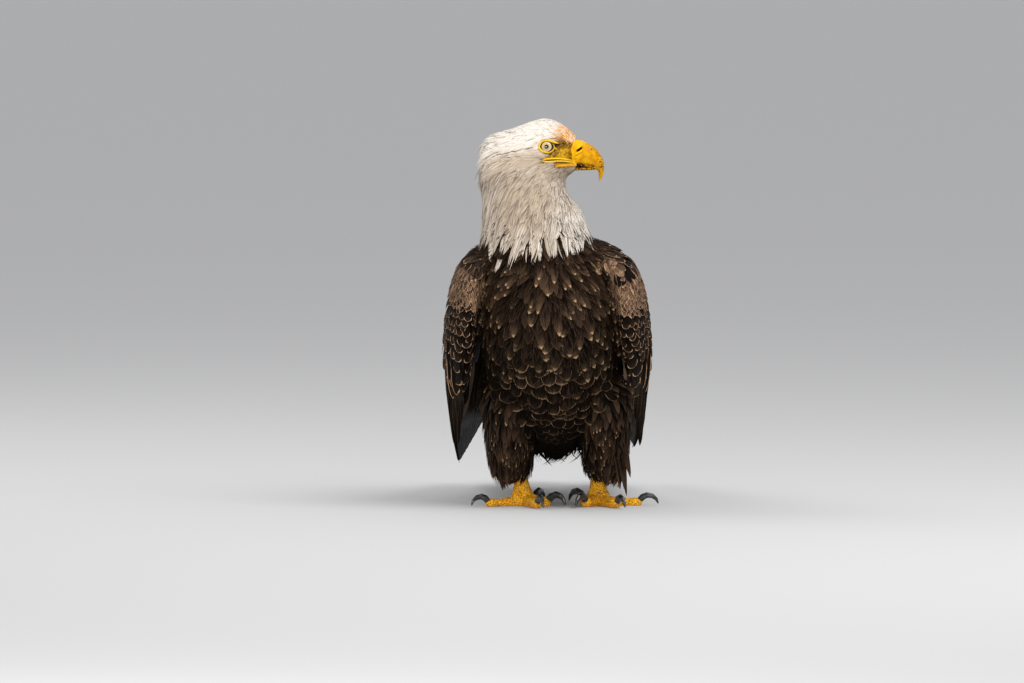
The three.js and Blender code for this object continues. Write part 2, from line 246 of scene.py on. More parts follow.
class Signal:
    """A socket on which arithmetic adds Math nodes."""

    def __init__(self, finish, socket):
        self.finish = finish
        self.socket = socket

    def __add__(self, other):
        return self.finish.maths("ADD", self, other)

    def __sub__(self, other):
        return self.finish.maths("SUBTRACT", self, other)

    def __rsub__(self, other):
        return self.finish.maths("SUBTRACT", other, self)

    def __mul__(self, other):
        return self.finish.maths("MULTIPLY", self, other)

    def __truediv__(self, other):
        return self.finish.maths("DIVIDE", self, other)

    def __pow__(self, other):
        return self.finish.maths("POWER", self, other)

    def __abs__(self):
        return self.finish.maths("ABSOLUTE", self)

    def clamp(self):
        return self.finish.maths("MAXIMUM", self.finish.maths("MINIMUM", self, 1), 0)

    def ramp(self, start, end):
        """0 up to start and 1 from end on, with a smooth step between them."""
        sockets = {"Value": self, "From Min": start, "From Max": end}
        return self.finish.node("ShaderNodeMapRange", {"interpolation_type": "SMOOTHSTEP"}, sockets)

    __radd__ = __add__
    __rmul__ = __mul__


class Finish:
    """A material and its slot, built on its Principled shader."""

    def __init__(self, name, slot=None, **constants):
        self.slot = slot
        self.material = bpy.data.materials.new(name)
        self.material.use_nodes = True
        self.tree = self.material.node_tree
        self.shader = self.tree.nodes["Principled BSDF"]
        for socket, value in constants.items():
            self.shader.inputs[socket.replace("_", " ")].default_value = value

    def node(self, kind, settings=None, sockets=None, output=0):
        node = self.tree.nodes.new(kind)
        for name, value in (settings or {}).items():
            setattr(node, name, value)
        for socket, value in (sockets or {}).items():
            self.feed(node.inputs[socket], value)
        return Signal(self, node.outputs[output])

    def feed(self, socket, value):
        if isinstance(value, Signal):
            self.tree.links.new(value.socket, socket)
        elif hasattr(value, "__len__") and socket.type == "RGBA":
            socket.default_value = (*value, 1)
        else:
            socket.default_value = value

    def maths(self, operation, *values):
        return self.node("ShaderNodeMath", {"operation": operation}, dict(enumerate(values)))

    def vector_maths(self, operation, *values):
        return self.node("ShaderNodeVectorMath", {"operation": operation}, dict(enumerate(values)))

    def mix(self, factor, first, second):
        """The colour that goes from first to second as factor goes from 0 to 1."""
        settings = {"data_type": "RGBA"}
        return self.node("ShaderNodeMix", settings, {0: factor, 6: first, 7: second}, 2)

    def attribute(self, name):
        """The three values of a vector attribute of the piece."""
        vector = self.node("ShaderNodeAttribute", {"attribute_name": name}, output=1)
        return self.parts(vector)

    def parts(self, vector):
        split = self.node("ShaderNodeSeparateXYZ", None, {0: vector})
        outputs = split.socket.node.outputs
        return [Signal(self, outputs[i]) for i in range(3)]

    def joined(self, x, y, z):
        return self.node("ShaderNodeCombineXYZ", None, {0: x, 1: y, 2: z})

    def position(self):
        return self.node("ShaderNodeTexCoord", output=3)

    def places(self):
        """Object coordinates as mm from the ground under the neck."""
        moved = self.vector_maths("SUBTRACT", self.position(), tuple(axis_foot))
        return self.parts(self.vector_maths("MULTIPLY", moved, (1 / MM,) * 3))

    def noise(self, scale, vector, detail=2.0):
        sockets = {"Vector": vector, "Scale": scale, "Detail": detail}
        return self.node("ShaderNodeTexNoise", None, sockets)

    def bump(self, height, distance):
        sockets = {"Height": height, "Distance": distance}
        self.feed(self.shader.inputs["Normal"], self.node("ShaderNodeBump", None, sockets))

    def colour(self, value):
        self.feed(self.shader.inputs["Base Color"], value)


def finished(piece, finish, *nodes):
    """Gives a piece its material and its body, and the nodes that it stands for."""
    piece.data.materials.clear()
    piece.data.materials.append(finish.material)
    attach(piece, "root")
    if nodes:
        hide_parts(*nodes)
    return piece


WHITE_DOWN = (0.30, 0.27, 0.235)
BROWN_DOWN = (0.02, 0.015, 0.012)
BARE_YELLOW = (0.60, 0.33, 0.004)
BARE_ORANGE = (0.34, 0.15, 0.010)
# Brown of the painted shade on the bare face under the brow.
SKIN_SHADE = (0.05, 0.02, 0.009)
CERE_YELLOW = (0.78, 0.43, 0.002)
# Colour of the painted shade in the gaps of the gape.
GAPE_SHADE = (0.05, 0.025, 0.01)
COLLAR = 368  # height in mm where white feathers give way to brown ones

skin_finish = Finish("bird_skin", "brown_plumage", Roughness=0.6, Specular_IOR_Level=0.2)
x, y, z = skin_finish.places()
down = skin_finish.mix(z.ramp(COLLAR - 4, COLLAR + 4), BROWN_DOWN, WHITE_DOWN)
mottling = skin_finish.noise(420, skin_finish.position(), detail=4)
bare_skin = skin_finish.mix(mottling.ramp(0.35, 0.6), BARE_ORANGE, BARE_YELLOW)
bare_skin = skin_finish.mix(x.ramp(27, 34) * (1 - z.ramp(486, 495)), bare_skin, CERE_YELLOW)
# The lore is painted browner towards the brow and towards the eye: painted shade under the brow.
before_eye = 1 - (x - (z - 478) * 0.55).ramp(4, 13)
shade_under_brow = (z.ramp(487, 498) + before_eye * 0.7).clamp() * (0.4 + x.ramp(4, 9) * 0.5)
bare_skin = skin_finish.mix(shade_under_brow * (0.5 + mottling.ramp(0.6, 0.35) * 0.5), bare_skin, SKIN_SHADE)
# Painted shade in the gap between the two folds of the gape, and under the lower fold.
between_folds = (1 - abs(z - 475.6).ramp(0.5, 1.3)) + (1 - abs(z - 471.3).ramp(0.5, 1.2))
bare_skin = skin_finish.mix((between_folds * (1 - x.ramp(28, 34))).clamp(), bare_skin, GAPE_SHADE)
across_face = x.ramp(-14, -8) * z.ramp(458, 464) * (1 - z.ramp(500, 506))
skin_finish.colour(skin_finish.mix(across_face, down, bare_skin))
skin_finish.bump(mottling, 0.6 * MM)
finished(skin, skin_finish, *FLESH)

# ---- Plumage of the head and neck -------------------------------------------------------
# White feathers, tiny at the bill and lengthening into pointed hackles that fall over the
# brown breast. Each is a thin closed vane, rooted in the skin and lying back from the bill.
# The hackles cling together in tufts, and the forehead is stained by food.
BAKE_PATCH = 0.003  # width of a feather on the map of its piece
LONG_FEATHER = 60  # mm


def feather_pattern(tallies, widest, point, ragged=0.0):
    """A feather of unit length along +Y, one unit to each side at its widest. `tallies` is the
    number of rings, and a larger `point` makes a blunter tip."""
    stations = [1 - (1 - i / tallies) ** 1.35 for i in range(tallies)]

    def half_width(t, i):
        swelling = 0.35 + 0.65 * math.sin(min(1, t / widest) * math.pi / 2)
        narrowing = (1 - max(0, (t - widest) / (1 - widest)) ** point) ** 0.75
        return swelling * narrowing * (1 - ragged * (i % 2))

    widths = [half_width(t, i) for i, t in enumerate(stations)]
    bpy.ops.mesh.primitive_circle_add(
        vertices=4, radius=1, fill_type="NGON", rotation=(math.pi / 2, 0, 0)
    )
    pattern = bpy.context.object
    bpy.ops.object.mode_set(mode="EDIT")
    bpy.ops.mesh.select_all(action="SELECT")
    bpy.ops.transform.resize(value=(widths[0], 1, 1))
    for i in range(1, tallies):
        step = stations[i] - stations[i - 1]
        bpy.ops.mesh.extrude_region_move(TRANSFORM_OT_translate={"value": (0, step, 0)})
        bpy.ops.transform.resize(value=(widths[i] / widths[i - 1], 1, 0.85))
    step = 1 - stations[-1]
    bpy.ops.mesh.extrude_region_move(TRANSFORM_OT_translate={"value": (0, step, 0)})
    bpy.ops.mesh.merge(type="CENTER")
    bpy.ops.mesh.select_all(action="SELECT")
    bpy.ops.mesh.normals_make_consistent(inside=False)
    bpy.ops.mesh.quads_convert_to_tris()
    bpy.ops.object.mode_set(mode="OBJECT")
    bpy.ops.object.transform_apply(location=True, rotation=True, scale=True)
    points = points_of(pattern)
    corners = np.array([tuple(face.vertices) for face in pattern.data.polygons])
    bpy.data.objects.remove(pattern)
    stations = np.array(stations + [1.0])
    rings = np.abs(points[:, 1:2] - stations).argmin(1)
    widths = np.array(widths + [0.0])[rings]
    sides = np.sign(np.round(points[:, 0], 5))
    return {
        "out": points[:, 0],
        "up": points[:, 2],
        "rings": rings,
        "stations": stations,
        "corners": corners,
        "vane": np.stack([sides, stations[rings], widths * (1 - abs(sides))], 1),
    }


def unit(vectors):
    return vectors / np.maximum(np.linalg.norm(vectors, axis=-1, keepdims=True), 1e-9)


def turned(vectors, axes, angles):
    """Each vector turned round its unit axis by its angle."""
    cosine, sine = np.cos(angles)[:, None], np.sin(angles)[:, None]
    return vectors * cosine + np.cross(axes, vectors) * sine


def tree_of(points):
    tree = KDTree(len(points))
    for i, point in enumerate(points.tolist()):
        tree.insert(point, i)
    tree.balance()
    return tree


def apart(points, gaps):
    """Keeps each point, in their order, that is further than its gap in mm from those kept."""
    tree = tree_of(points)
    kept = np.ones(len(points), bool)
    for i, point in enumerate(points.tolist()):
        if kept[i]:
            for _, other, _ in tree.find_range(point, gaps[i] * MM):
                kept[other] = other <= i and kept[other]
    return kept


def at(measure, places):
    """The values at some places of a measure, which is a number or a function of x, y, z."""
    return np.broadcast_to(measure(*places) if callable(measure) else measure, len(places[0]))


def stacked(parts, count):
    """The parts of a vector, each a number or an array, as one row for each place."""
    return np.stack([np.broadcast_to(part, count) for part in parts], 1).astype(float)


def scattered(where, spacing, rows, rng):
    """Places on the outer form, no two closer than the spacing there in mm. With `rows`, which
    gives a place's row as a number and how far it is along that row, they stand in rows."""
    form = outer_form
    wanted = np.flatnonzero(where(*in_mm(form.middles), form.regions, form.normals.T))
    gaps = at(spacing, in_mm(form.middles[wanted]))
    tries = rng.poisson((50 if rows else 5) * form.areas[wanted] / gaps**2)
    faces = rng.permutation(np.repeat(np.arange(len(wanted)), tries))
    right, up = rng.random((2, len(faces), 1))
    quads = form.corners[wanted[faces]]
    low = quads[:, 0] * (1 - right) + quads[:, 1] * right
    high = quads[:, 3] * (1 - right) + quads[:, 2] * right
    points = low * (1 - up) + high * up
    gaps = gaps[faces]
    if rows:
        row, along_row = rows(*in_mm(points), form.normals[wanted[faces]].T)
        order = np.lexsort((along_row, np.round(row)))
        order = order[np.abs(row - np.round(row))[order] < 0.08]
        points, gaps = points[order], gaps[order]
    return points[apart(points, gaps)]


def wrap(points, axis):
    """A cylinder's unwrap of the body round an axis (0 is x, 2 is z): places from 0 to 1."""
    middle = (points.max(0) + points.min(0)) / 2
    first, second = [i for i in range(3) if i != axis]
    turn = np.arctan2(points[:, second] - middle[second], points[:, first] - middle[first])
    along = points[:, axis] - points[:, axis].min()
    return np.stack([0.5 + turn / math.tau, along / along.max()], 1) * 0.98 + 0.01


def store(mesh, title, vectors):
    """Keeps three values for each point of a mesh, which its material reads."""
    attribute = mesh.attributes.new(title, "FLOAT_VECTOR", "POINT")
    attribute.data.foreach_set("vector", vectors.astype(np.float32).ravel())


def mesh_of_vanes(
    name, finish, pattern, spines, ups, half_widths, thickness, camber, tints, map_axis, *nodes
):
    """Sets the pattern along every spine, and joins all in one finished piece."""
    rings, out = pattern["rings"], pattern["out"]
    runs = unit(np.gradient(spines, axis=1))
    acrosses = unit(np.cross(runs, ups))
    lifts = np.cross(acrosses, runs)
    sideways = out[None, :, None] * half_widths[:, None, None]
    height = thickness * MM * pattern["up"][None, :, None] - camber * out[None, :, None] ** 2 * (
        half_widths[:, None, None]
    )
    points = spines[:, rings] + acrosses[:, rings] * sideways + lifts[:, rings] * height
    count, size = points.shape[:2]
    corners = pattern["corners"][None] + size * np.arange(count)[:, None, None]
    mesh = bpy.data.meshes.new(name)
    mesh.vertices.add(count * size)
    mesh.vertices.foreach_set("co", points.astype(np.float32).ravel())
    mesh.loops.add(corners.size)
    mesh.loops.foreach_set("vertex_index", corners.ravel())
    mesh.polygons.add(corners.size // 3)
    mesh.polygons.foreach_set("loop_start", np.arange(0, corners.size, 3))
    mesh.update(calc_edges=True)
    roots = wrap(spines[:, 0], map_axis)
    patch = pattern["vane"][:, :2] * (0.5, 1) - (0, 0.5)
    places = roots[:, None] + BAKE_PATCH * patch[None]
    bake_map = mesh.uv_layers.new(name="OFBake")
    bake_map.data.foreach_set("uv", places.reshape(-1, 2)[corners.ravel()].ravel())
    store(mesh, "vane", np.tile(pattern["vane"], (count, 1)))
    store(mesh, "tint", np.repeat(tints, size, axis=0))
    piece = bpy.data.objects.new(name, mesh)
    bpy.context.scene.collection.objects.link(piece)
    choose(piece)
    bpy.ops.object.shade_smooth_by_angle(angle=math.radians(70))
    finished(piece, finish, *nodes)


def coat(
    name, finish, pattern, where, spacing, length, half_width, lie, tint, seed, *,
    rows=None, depth=9.0, rise=0.0, lift=1.0, stray=8.0, roll=5.0, spread=0.15,
    thickness=0.25, camber=0.15, cling=1.0, droop=0.0, tuft_gap=None, tuft_pull=0.5, map_axis=2,
):
    """Feathers over a part of the body. Sizes are in mm and angles in degrees. A feather starts
    `depth` under the body's form, and ends `lift` over it. Past the share `cling` of its length
    it leaves the form. Where there is a `tuft_gap`, the tips draw together in tufts. Long
    feathers that would kink or swerve are left out."""
    rng = np.random.default_rng(seed)
    roots = scattered(where, spacing, rows, rng)
    count = len(roots)
    places = in_mm(roots)
    stations = pattern["stations"]
    lengths = at(length, places) * rng.normal(1, spread, count).clip(0.6, 1.5) * MM
    half_widths = at(half_width, places) * rng.normal(1, spread, count).clip(0.6, 1.5) * MM
    depths, rises, clings, droops = (at(value, places) for value in (depth, rise, cling, droop))
    lifts = at(lift, places) * rng.uniform(0.4, 1.6, count)
    strays = rng.normal(0, math.radians(stray), count)
    rolls = rng.normal(0, math.radians(roll), count)
    spines = np.empty((count, len(stations), 3))
    ups = np.empty_like(spines)
    near, normals = outer_form.nearest(roots)
    heading = None
    for i, t in enumerate(stations):
        if i:
            near = near + heading * (lengths * (t - stations[i - 1]))[:, None]
            clinging = (t <= clings)[:, None]
            closest, closest_normals = outer_form.nearest(near)
            near = np.where(clinging, closest, near)
            normals = np.where(clinging, closest_normals, normals)
        wanted = stacked(lie(*in_mm(near)), count)
        wanted = unit(wanted - normals * (wanted * normals).sum(1, keepdims=True))
        wanted = turned(wanted, normals, strays)
        if heading is not None:
            hanging = heading - droops[:, None] * np.array((0, 0, 1))
            wanted = np.where(clinging, wanted, hanging)
        heading = unit(wanted - normals * (wanted * normals).sum(1, keepdims=True))
        height = rises - depths * (1 - t) ** 3 + lifts * t**2
        spines[:, i] = near + normals * (height * MM)[:, None]
        ups[:, i] = turned(normals, heading, rolls)
    if tuft_gap is not None:
        leaders = np.flatnonzero(apart(roots, at(tuft_gap, places)))
        tree = tree_of(roots[leaders])
        leader_of = leaders[[tree.find(root)[1] for root in roots.tolist()]]
        pull = tuft_pull * stations[None, :, None] ** 2
        spines += pull * (spines[leader_of] - spines)
    tints = stacked(tint(*places, rng.random((3, count))), count)
    steps = unit(np.diff(spines, axis=1))
    straight = unit(spines[:, -1] - spines[:, 0])
    lies = unit(stacked(lie(*places), count))
    smooth = (steps[:, 1:] * steps[:, :-1]).sum(-1).min(1) > 0.3
    kept = ((straight * lies).sum(1) > 0.94) & smooth | (lengths < LONG_FEATHER * MM)
    mesh_of_vanes(
        name, finish, pattern, spines[kept], ups[kept], half_widths[kept], thickness, camber,
        tints[kept], map_axis,
    )


def ease(line):
    """Smooths a line of places or numbers between its ends."""
    for _ in range(3):
        line[1:-1] = (line[:-2] + 2 * line[1:-1] + line[2:]) / 4


def laid(
    name, finish, pattern, roots, tips, half_widths, tints, *,
    depth=7.0, lift=2.0, lean=0.25, thickness=0.25, camber=0.15,
):
    """Feathers set one by one on the front of the body, from roots to tips that are given by x
    and z in mm. They leave the body where it falls back more steeply than they `lean`."""
    stations = pattern["stations"]
    spines = np.empty((len(roots), len(stations), 3))
    for i, (root, tip) in enumerate(zip(roots, tips)):
        line = root + (tip - root) * stations[:, None]
        hits = [outer_form.tree.ray_cast(place(x, -300, z), Vector((0, 1, 0)))[0] for x, z in line]
        seen = [k for k, hit in enumerate(hits) if hit is not None]
        back = np.interp(range(len(hits)), seen, in_mm([hits[k] for k in seen])[1])
        back = np.minimum(back, back[0] + lean * np.linalg.norm(line - line[0], axis=1))
        ease(back)
        back += depth * (1 - stations) ** 3 - lift * stations
        spines[i] = [tuple(place(x, y, z)) for (x, z), y in zip(line, back)]
    ups = unit(outer_form.nearest(spines.reshape(-1, 3))[1] + (0, -1.5, 0)).reshape(spines.shape)
    mesh_of_vanes(
        name, finish, pattern, spines, ups, half_widths * MM, thickness, camber, tints, 2
    )


def locks(name, finish, pattern, threads, count, half_width, tint, seed):
    """Locks of feathers that draw together at their tips. Each thread gives the root and the
    tip of a lock by x and z in mm."""
    rng = np.random.default_rng(seed)
    roots, tips = np.repeat(np.array(threads, float), count, axis=0).transpose(1, 0, 2)
    roots += rng.uniform(-1, 1, roots.shape) * (6, 10)
    tips += rng.normal(0, 1.1, tips.shape)
    tips += (roots - tips) * 0.45 * rng.random((len(tips), 1)) ** 2
    half_widths = half_width * rng.normal(1, 0.15, len(roots)).clip(0.6, 1.4)
    tints = stacked(tint(rng.random((3, len(roots)))), len(roots))
    laid(name, finish, pattern, roots, tips, half_widths, tints)


BILL_ROOT = (50, 472)  # x and z


def from_bill(x, y, z):
    """How far a place of the head or neck is from the bill, and more so low on the neck."""
    away = np.hypot(np.hypot(x - BILL_ROOT[0], y), z - BILL_ROOT[1])
    return away + 0.6 * np.maximum(0, 440 - z)


def back_from_bill(x, y, z):
    """The lie of the head's feathers: away from the bill, and more and more downwards."""
    run = unit(np.stack([x - BILL_ROOT[0], y, z - BILL_ROOT[1]], 1)).T
    fall = np.clip((BILL_ROOT[1] - z) / 60 + (BILL_ROOT[0] - x) / 300, 0, 2)
    return run[0], run[1], run[2] - fall - 0.6 * ramp(20 - x, 0, 25) * ramp(z, 480, 500)


def collar(x, y):
    """How low the roots of the hackles reach: lower on the breast than at the sides."""
    return 388 + 17 * ramp(-15 - x, 5, 60) + 4 * ramp(x + 15, 50, 72)


def chance_at(x, y, z):
    """A steady random number from 0 to 1 for each place."""
    return np.modf(np.abs(np.sin(x * 12.99 + y * 37.7 + z * 78.23)) * 43758.5)[0]


REACH = (10, 40, 70, 100, 140, 190)


def white_length(x, y, z):
    return np.interp(from_bill(x, y, z), REACH, (4.5, 11, 20, 30, 42, 56))


def white_width(x, y, z):
    return np.interp(from_bill(x, y, z), REACH, (0.45, 0.65, 0.85, 1.1, 1.4, 1.9))


def white_spacing(x, y, z):
    return np.interp(from_bill(x, y, z), REACH, (0.75, 0.95, 1.3, 1.65, 2.1, 2.9))


def white_tint(x, y, z, chance):
    """Shade, how beige, and stain: white on the crown, beige on cheek and neck, which is partly
    painted shade.
    """
    # The beige is partly the feathers' own, partly painted light and shade: more beige lower on the
    # head, paler towards the light at the front of the neck, and at the nape.
    cream_and_shade = 0.10 + 0.85 * (1 - ramp(z, 474, 514)) - 0.5 * ramp(x, -10, 30) * (1 - ramp(z, 440, 462))
    cream_and_shade -= 0.25 * ramp(-x, 45, 75) + 0.15 * (1 - ramp(z, 392, 425)) + 0.3 * ramp(x, 22, 40)
    # Feathers along the crease behind the eye are painted dark, as shade in the crease; a patch
    # before the eye, under the brow, is dark as well.
    behind_eye = np.clip((-14 - x) / 42, 0, 1)
    from_line = np.hypot(np.minimum(0, x + 56) + np.maximum(0, x + 12), z - 496 + 11 * behind_eye)
    before_eye = np.hypot((x - 20.5) / 8.5, (z - 499) / 3.4)
    dark = ((from_line < 1.3) & (chance[2] < 0.7)) | ((before_eye < 1) & (chance[2] < 0.85))
    # Painted shade under the jaw: the feathers there are darker and more beige.
    under_jaw = ramp(x, 0, 8) * (1 - ramp(np.abs(z - 460), 3, 8))
    shade = np.where(dark, 0, 0.06 + 0.94 * chance[0] * (1 - 0.7 * under_jaw))
    # A patch of painted shade on the side of the neck is more beige, and so are the feathers under
    # the jaw.
    cream_and_shade += 0.25 * (1 - ramp(np.hypot((x + 25) / 45, (z - 435) / 35), 0.3, 1)) + 0.4 * under_jaw
    forehead = 1 - ramp(np.hypot((x - 29) / 16, (z - 505) / 14), 0.4, 1.15)
    below_eye = 1 - ramp(np.hypot((x - 10) / 8, (z - 483.5) / 5), 0.5, 1.3)
    shade = np.where(below_eye > 0.3, 0.06 + 0.3 * chance[0], shade)
    stain = np.maximum(forehead, 0.5 * below_eye) * (0.3 + 0.7 * ramp(chance[2], 0.35, 0.55))
    return shade, np.clip(cream_and_shade + 0.5 * (chance[1] - 0.5), 0, 1), stain


plume = feather_pattern(tallies=3, widest=0.45, point=1.5)
hackle = feather_pattern(tallies=5, widest=0.4, point=1.5)

white_finish = Finish("white_feathers", "white_plumage", Roughness=0.8, Specular_IOR_Level=0.15)
side, along = white_finish.attribute("vane")[:2]
shade, creaminess_and_shade, stain = white_finish.attribute("tint")
barbs = white_finish.noise(
    1, white_finish.joined(side * 3.5 + shade * 40, along * 1.4, creaminess_and_shade * 30), detail=3
)
WHITE_TIP = (0.76, 0.70, 0.62)
# The beige of the feathers, which also stands for painted shade.
SHADED_CREAM = (0.44, 0.335, 0.235)
WHITE_ROOT = (0.38, 0.32, 0.26)
SHADED_NECK_ROOT = (0.20, 0.165, 0.13)
DARK_STREAK = (0.07, 0.045, 0.03)
FOOD_STAIN = (0.74, 0.33, 0.05)
# Low on the neck the roots are darker and show more: partly their grey bases, partly painted shade.
low = 1 - white_finish.places()[2].ramp(445, 492)
tone = (along * 0.45 + (shade - 0.5) * 0.6 + (barbs - 0.5) * 1.1 + 0.45).clamp()
tipped = white_finish.mix((creaminess_and_shade - along * 0.25 + 0.1).clamp(), WHITE_TIP, SHADED_CREAM)
root = white_finish.mix(low, WHITE_ROOT, SHADED_NECK_ROOT)
white = white_finish.mix(tone.ramp(low * 0.28 + 0.05, low * 0.45 + 0.6), root, tipped)
# Feathers with no shade are dark: on the crease behind the eye, as painted shade, and in the patch
# before the eye.
white = white_finish.mix((1 - shade.ramp(0.03, 0.05)) * 0.85, white, DARK_STREAK)
white_finish.colour(white_finish.mix(stain, white, FOOD_STAIN))


def is_white(x, y, z, region):
    return ((region == HEAD) | (region == NECK)) & (z > collar(x, y))


def eye_depth(x, y, z):
    """How deep the head's feathers start: less close to the eyelid."""
    return 0.4 + 1.6 * ramp(from_eye(x, z), 9, 16)


for part, (nearest, furthest), pattern, seed in (
    ("face", (0, 62), plume, 1), ("crown", (62, 96), hackle, 2),
    ("nape", (96, 128), hackle, 3), ("hackles", (128, 400), hackle, 4),
):
    on_head = part in ("face", "crown")
    coat(
        "feathers_" + part, white_finish, pattern,
        lambda x, y, z, region, normal: is_white(x, y, z, region)
        & (bareness(x, y, z) < 0.25 + 0.5 * chance_at(x, y, z))
        & (from_bill(x, y, z) >= nearest) & (from_bill(x, y, z) < furthest),
        white_spacing, white_length, white_width, back_from_bill, white_tint, seed,
        depth=eye_depth if on_head else 7,
        lift=0.5 if on_head else lambda x, y, z: (
            1.0 + 1.6 * ramp(-x, 55, 85) + 1.6 * (1 - ramp(z, 395, 425))
        ),
        stray=5, spread=0.15 if on_head else 0.28, camber=0.2,
        cling=1 if on_head else 0.65, droop=0.12,
        tuft_gap=lambda x, y, z: 6.5 * white_width(x, y, z) + 2,
        tuft_pull=0.5 if on_head else 0.6,
    )

COLLAR_LOCKS = (
    ((-74, 385), (-82, 342)), ((-54, 382), (-72, 324)), ((-34, 386), (-36, 349)),
    ((-26, 380), (-19, 339)), ((-12, 380), (-13, 341)), ((-3, 384), (10, 349)),
    ((26, 386), (33, 347)), ((41, 390), (46, 353)),
)
locks(
    "locks_collar", white_finish, hackle, COLLAR_LOCKS, 16, 1.7,
    lambda chance: (0.2 + 0.7 * chance[0], 0.2 + 0.5 * chance[1], 0), 5,
)

# ---- Plumage of the body ----------------------------------------------------------------
# Brown contour feathers: long and pointed on the breast, each with a tan drop at its tip,
# rounder with thin tan edges on the belly, and broad and plain on the back. Breast and belly
# darken downwards, nearly black under the tail: painted shade over their own dark brown.
# Loose barbs soften them.
def brown_finish(name, slot, roughness, dark, mid, tan, rim, rim_start):
    """A brown feather: dark at the root, with a drop or a rim of tan at the end. A shade over
    1 makes it streaky."""
    finish = Finish(name, slot, Roughness=roughness, Specular_IOR_Level=0.02)
    side, along, margin = finish.attribute("vane")
    shade, drop, fringe = finish.attribute("tint")
    grain = finish.joined(side * 4 + shade * 50, along * 3, shade * 20)
    barbs = finish.noise(1.2, grain, detail=3)
    tone = (shade * 0.55 + (barbs - 0.5) * 0.9 + along.ramp(0.45, 1) * 0.25 - 0.1).clamp()
    brown = finish.mix(tone, dark, mid)
    centre = margin.ramp(0.02, 0.4)
    at_tip = (along.ramp(0.88, 0.97) * 0.8 + along.ramp(0.6, 0.97) * barbs * centre * 0.25) * drop
    at_edge = (1 - margin.ramp(rim * 0.5, rim)) * along.ramp(rim_start, rim_start + 0.15) * fringe
    streaks = (shade - 1).clamp() * (0.25 + barbs.ramp(0.35, 0.65))
    paleness = (at_tip + at_edge * (0.75 + barbs * 0.5) + streaks).clamp()
    finish.colour(finish.mix(paleness, brown, tan))
    return finish


body_finish = brown_finish(
    "body_feathers", "brown_plumage", 0.7, (0.004, 0.0026, 0.0018), (0.090, 0.051, 0.031),
    (0.55, 0.35, 0.19), 0.09, 0.55,
)
pointed = feather_pattern(tallies=8, widest=0.5, point=1.8, ragged=0.05)
rounded = feather_pattern(tallies=8, widest=0.6, point=3.4)
wisp = feather_pattern(tallies=3, widest=0.35, point=1.2)
BELLY_MIDDLE = 5
BELLY_ROW = 9.5  # mm between its rows
BODY_HEIGHTS = (60, 80, 100, 130, 170, 210, 250, 300, 372)


def down_the_body(x, y, z):
    """The lie of the body's feathers: down, and back to the tail where the body turns in."""
    return 0.5 * x / 90 * ramp(z, 220, 300), 0.6, -1


def body_length(x, y, z):
    return np.interp(z, BODY_HEIGHTS, (30, 32, 28, 26, 32, 40, 50, 48, 34))


def body_width(x, y, z):
    return np.interp(z, BODY_HEIGHTS, (2, 3, 6, 9.5, 13, 13, 10, 8, 5))


def body_spacing(x, y, z):
    return np.interp(z, BODY_HEIGHTS, (3.5, 4.5, 6, 7.8, 9.6, 10.8, 10.4, 8.8, 5.8))


def breast_tint(x, y, z, chance):
    """Shade, drop and fringe: darker and darker down the breast, which is painted shade."""
    high = ramp(z, 215, 330)
    drop = 0.85 * ramp(chance[1], 0.30, 0.75) * (0.7 + 0.3 * high) * (1 - 0.8 * ramp(z, 350, 375))
    return chance[0] * (0.2 + 0.7 * high) - 0.35 * (1 - high), drop, 0.12 * chance[2]


def belly_tint(x, y, z, chance):
    # Painted light: the belly is lighter high up and in its middle, darker low down and at its
    # sides.
    light = ramp(z, 84, 150) * (1 - 0.7 * ramp(np.abs(x - BELLY_MIDDLE), 55, 80))
    tone = 0.25 * chance[0] * light - 0.15 - 0.4 * (1 - light)
    return tone, 0.25 * (chance[1] > 0.5) * light, (0.16 + 0.36 * chance[2]) * light


def belly_rows(x, y, z, normal):
    """Rows across the belly, lower in the middle, and how far along a row a place is."""
    return (0.6 * y - z - 14 * ((x - BELLY_MIDDLE) / 60) ** 2) / BELLY_ROW, x


def on_trunk(x, y, z, region):
    return (region == TRUNK) | ((region == NECK) & (z <= collar(x, y) - 3))


def is_breast(x, y, z):
    return z + 24 * chance_at(x, y, z) > 238


MANTLE_TURN = 0.25  # how much a place faces back where the breast gives way to the back
TAIL_ROOT = 125  # mm back, where the white of the tail begins below
TAIL_TOP = 150  # and above

coat(
    "feathers_breast", body_finish, pointed,
    lambda x, y, z, region, normal: on_trunk(x, y, z, region) & is_breast(x, y, z)
    & (normal[1] < MANTLE_TURN),
    body_spacing, body_length, body_width, down_the_body, breast_tint, 11,
    lift=lambda x, y, z: 1.8 - 1.5 * ramp(z, 335, 375), stray=9,
)
coat(
    "barbs_breast", body_finish, wisp,
    lambda x, y, z, region, normal: on_trunk(x, y, z, region) & (z > 130)
    & (normal[1] < MANTLE_TURN),
    3.6, lambda x, y, z: 0.6 * body_length(x, y, z), 0.8, down_the_body,
    lambda x, y, z, chance: (
        0.6 * chance[0] * ramp(z, 150, 280), 0.5 * (chance[1] > 0.8) * ramp(z, 180, 280), 0
    ),
    15, lift=2.3, stray=14, depth=3,
)
coat(
    "feathers_belly", body_finish, rounded,
    lambda x, y, z, region, normal: on_trunk(x, y, z, region) & ~is_breast(x, y, z)
    & (normal[1] < MANTLE_TURN) & (z > 88) & (y < TAIL_ROOT),
    lambda x, y, z: 1.3 * body_width(x, y, z), body_length, body_width, down_the_body,
    belly_tint, 12, rows=belly_rows, lift=1.4, stray=6, spread=0.1,
)
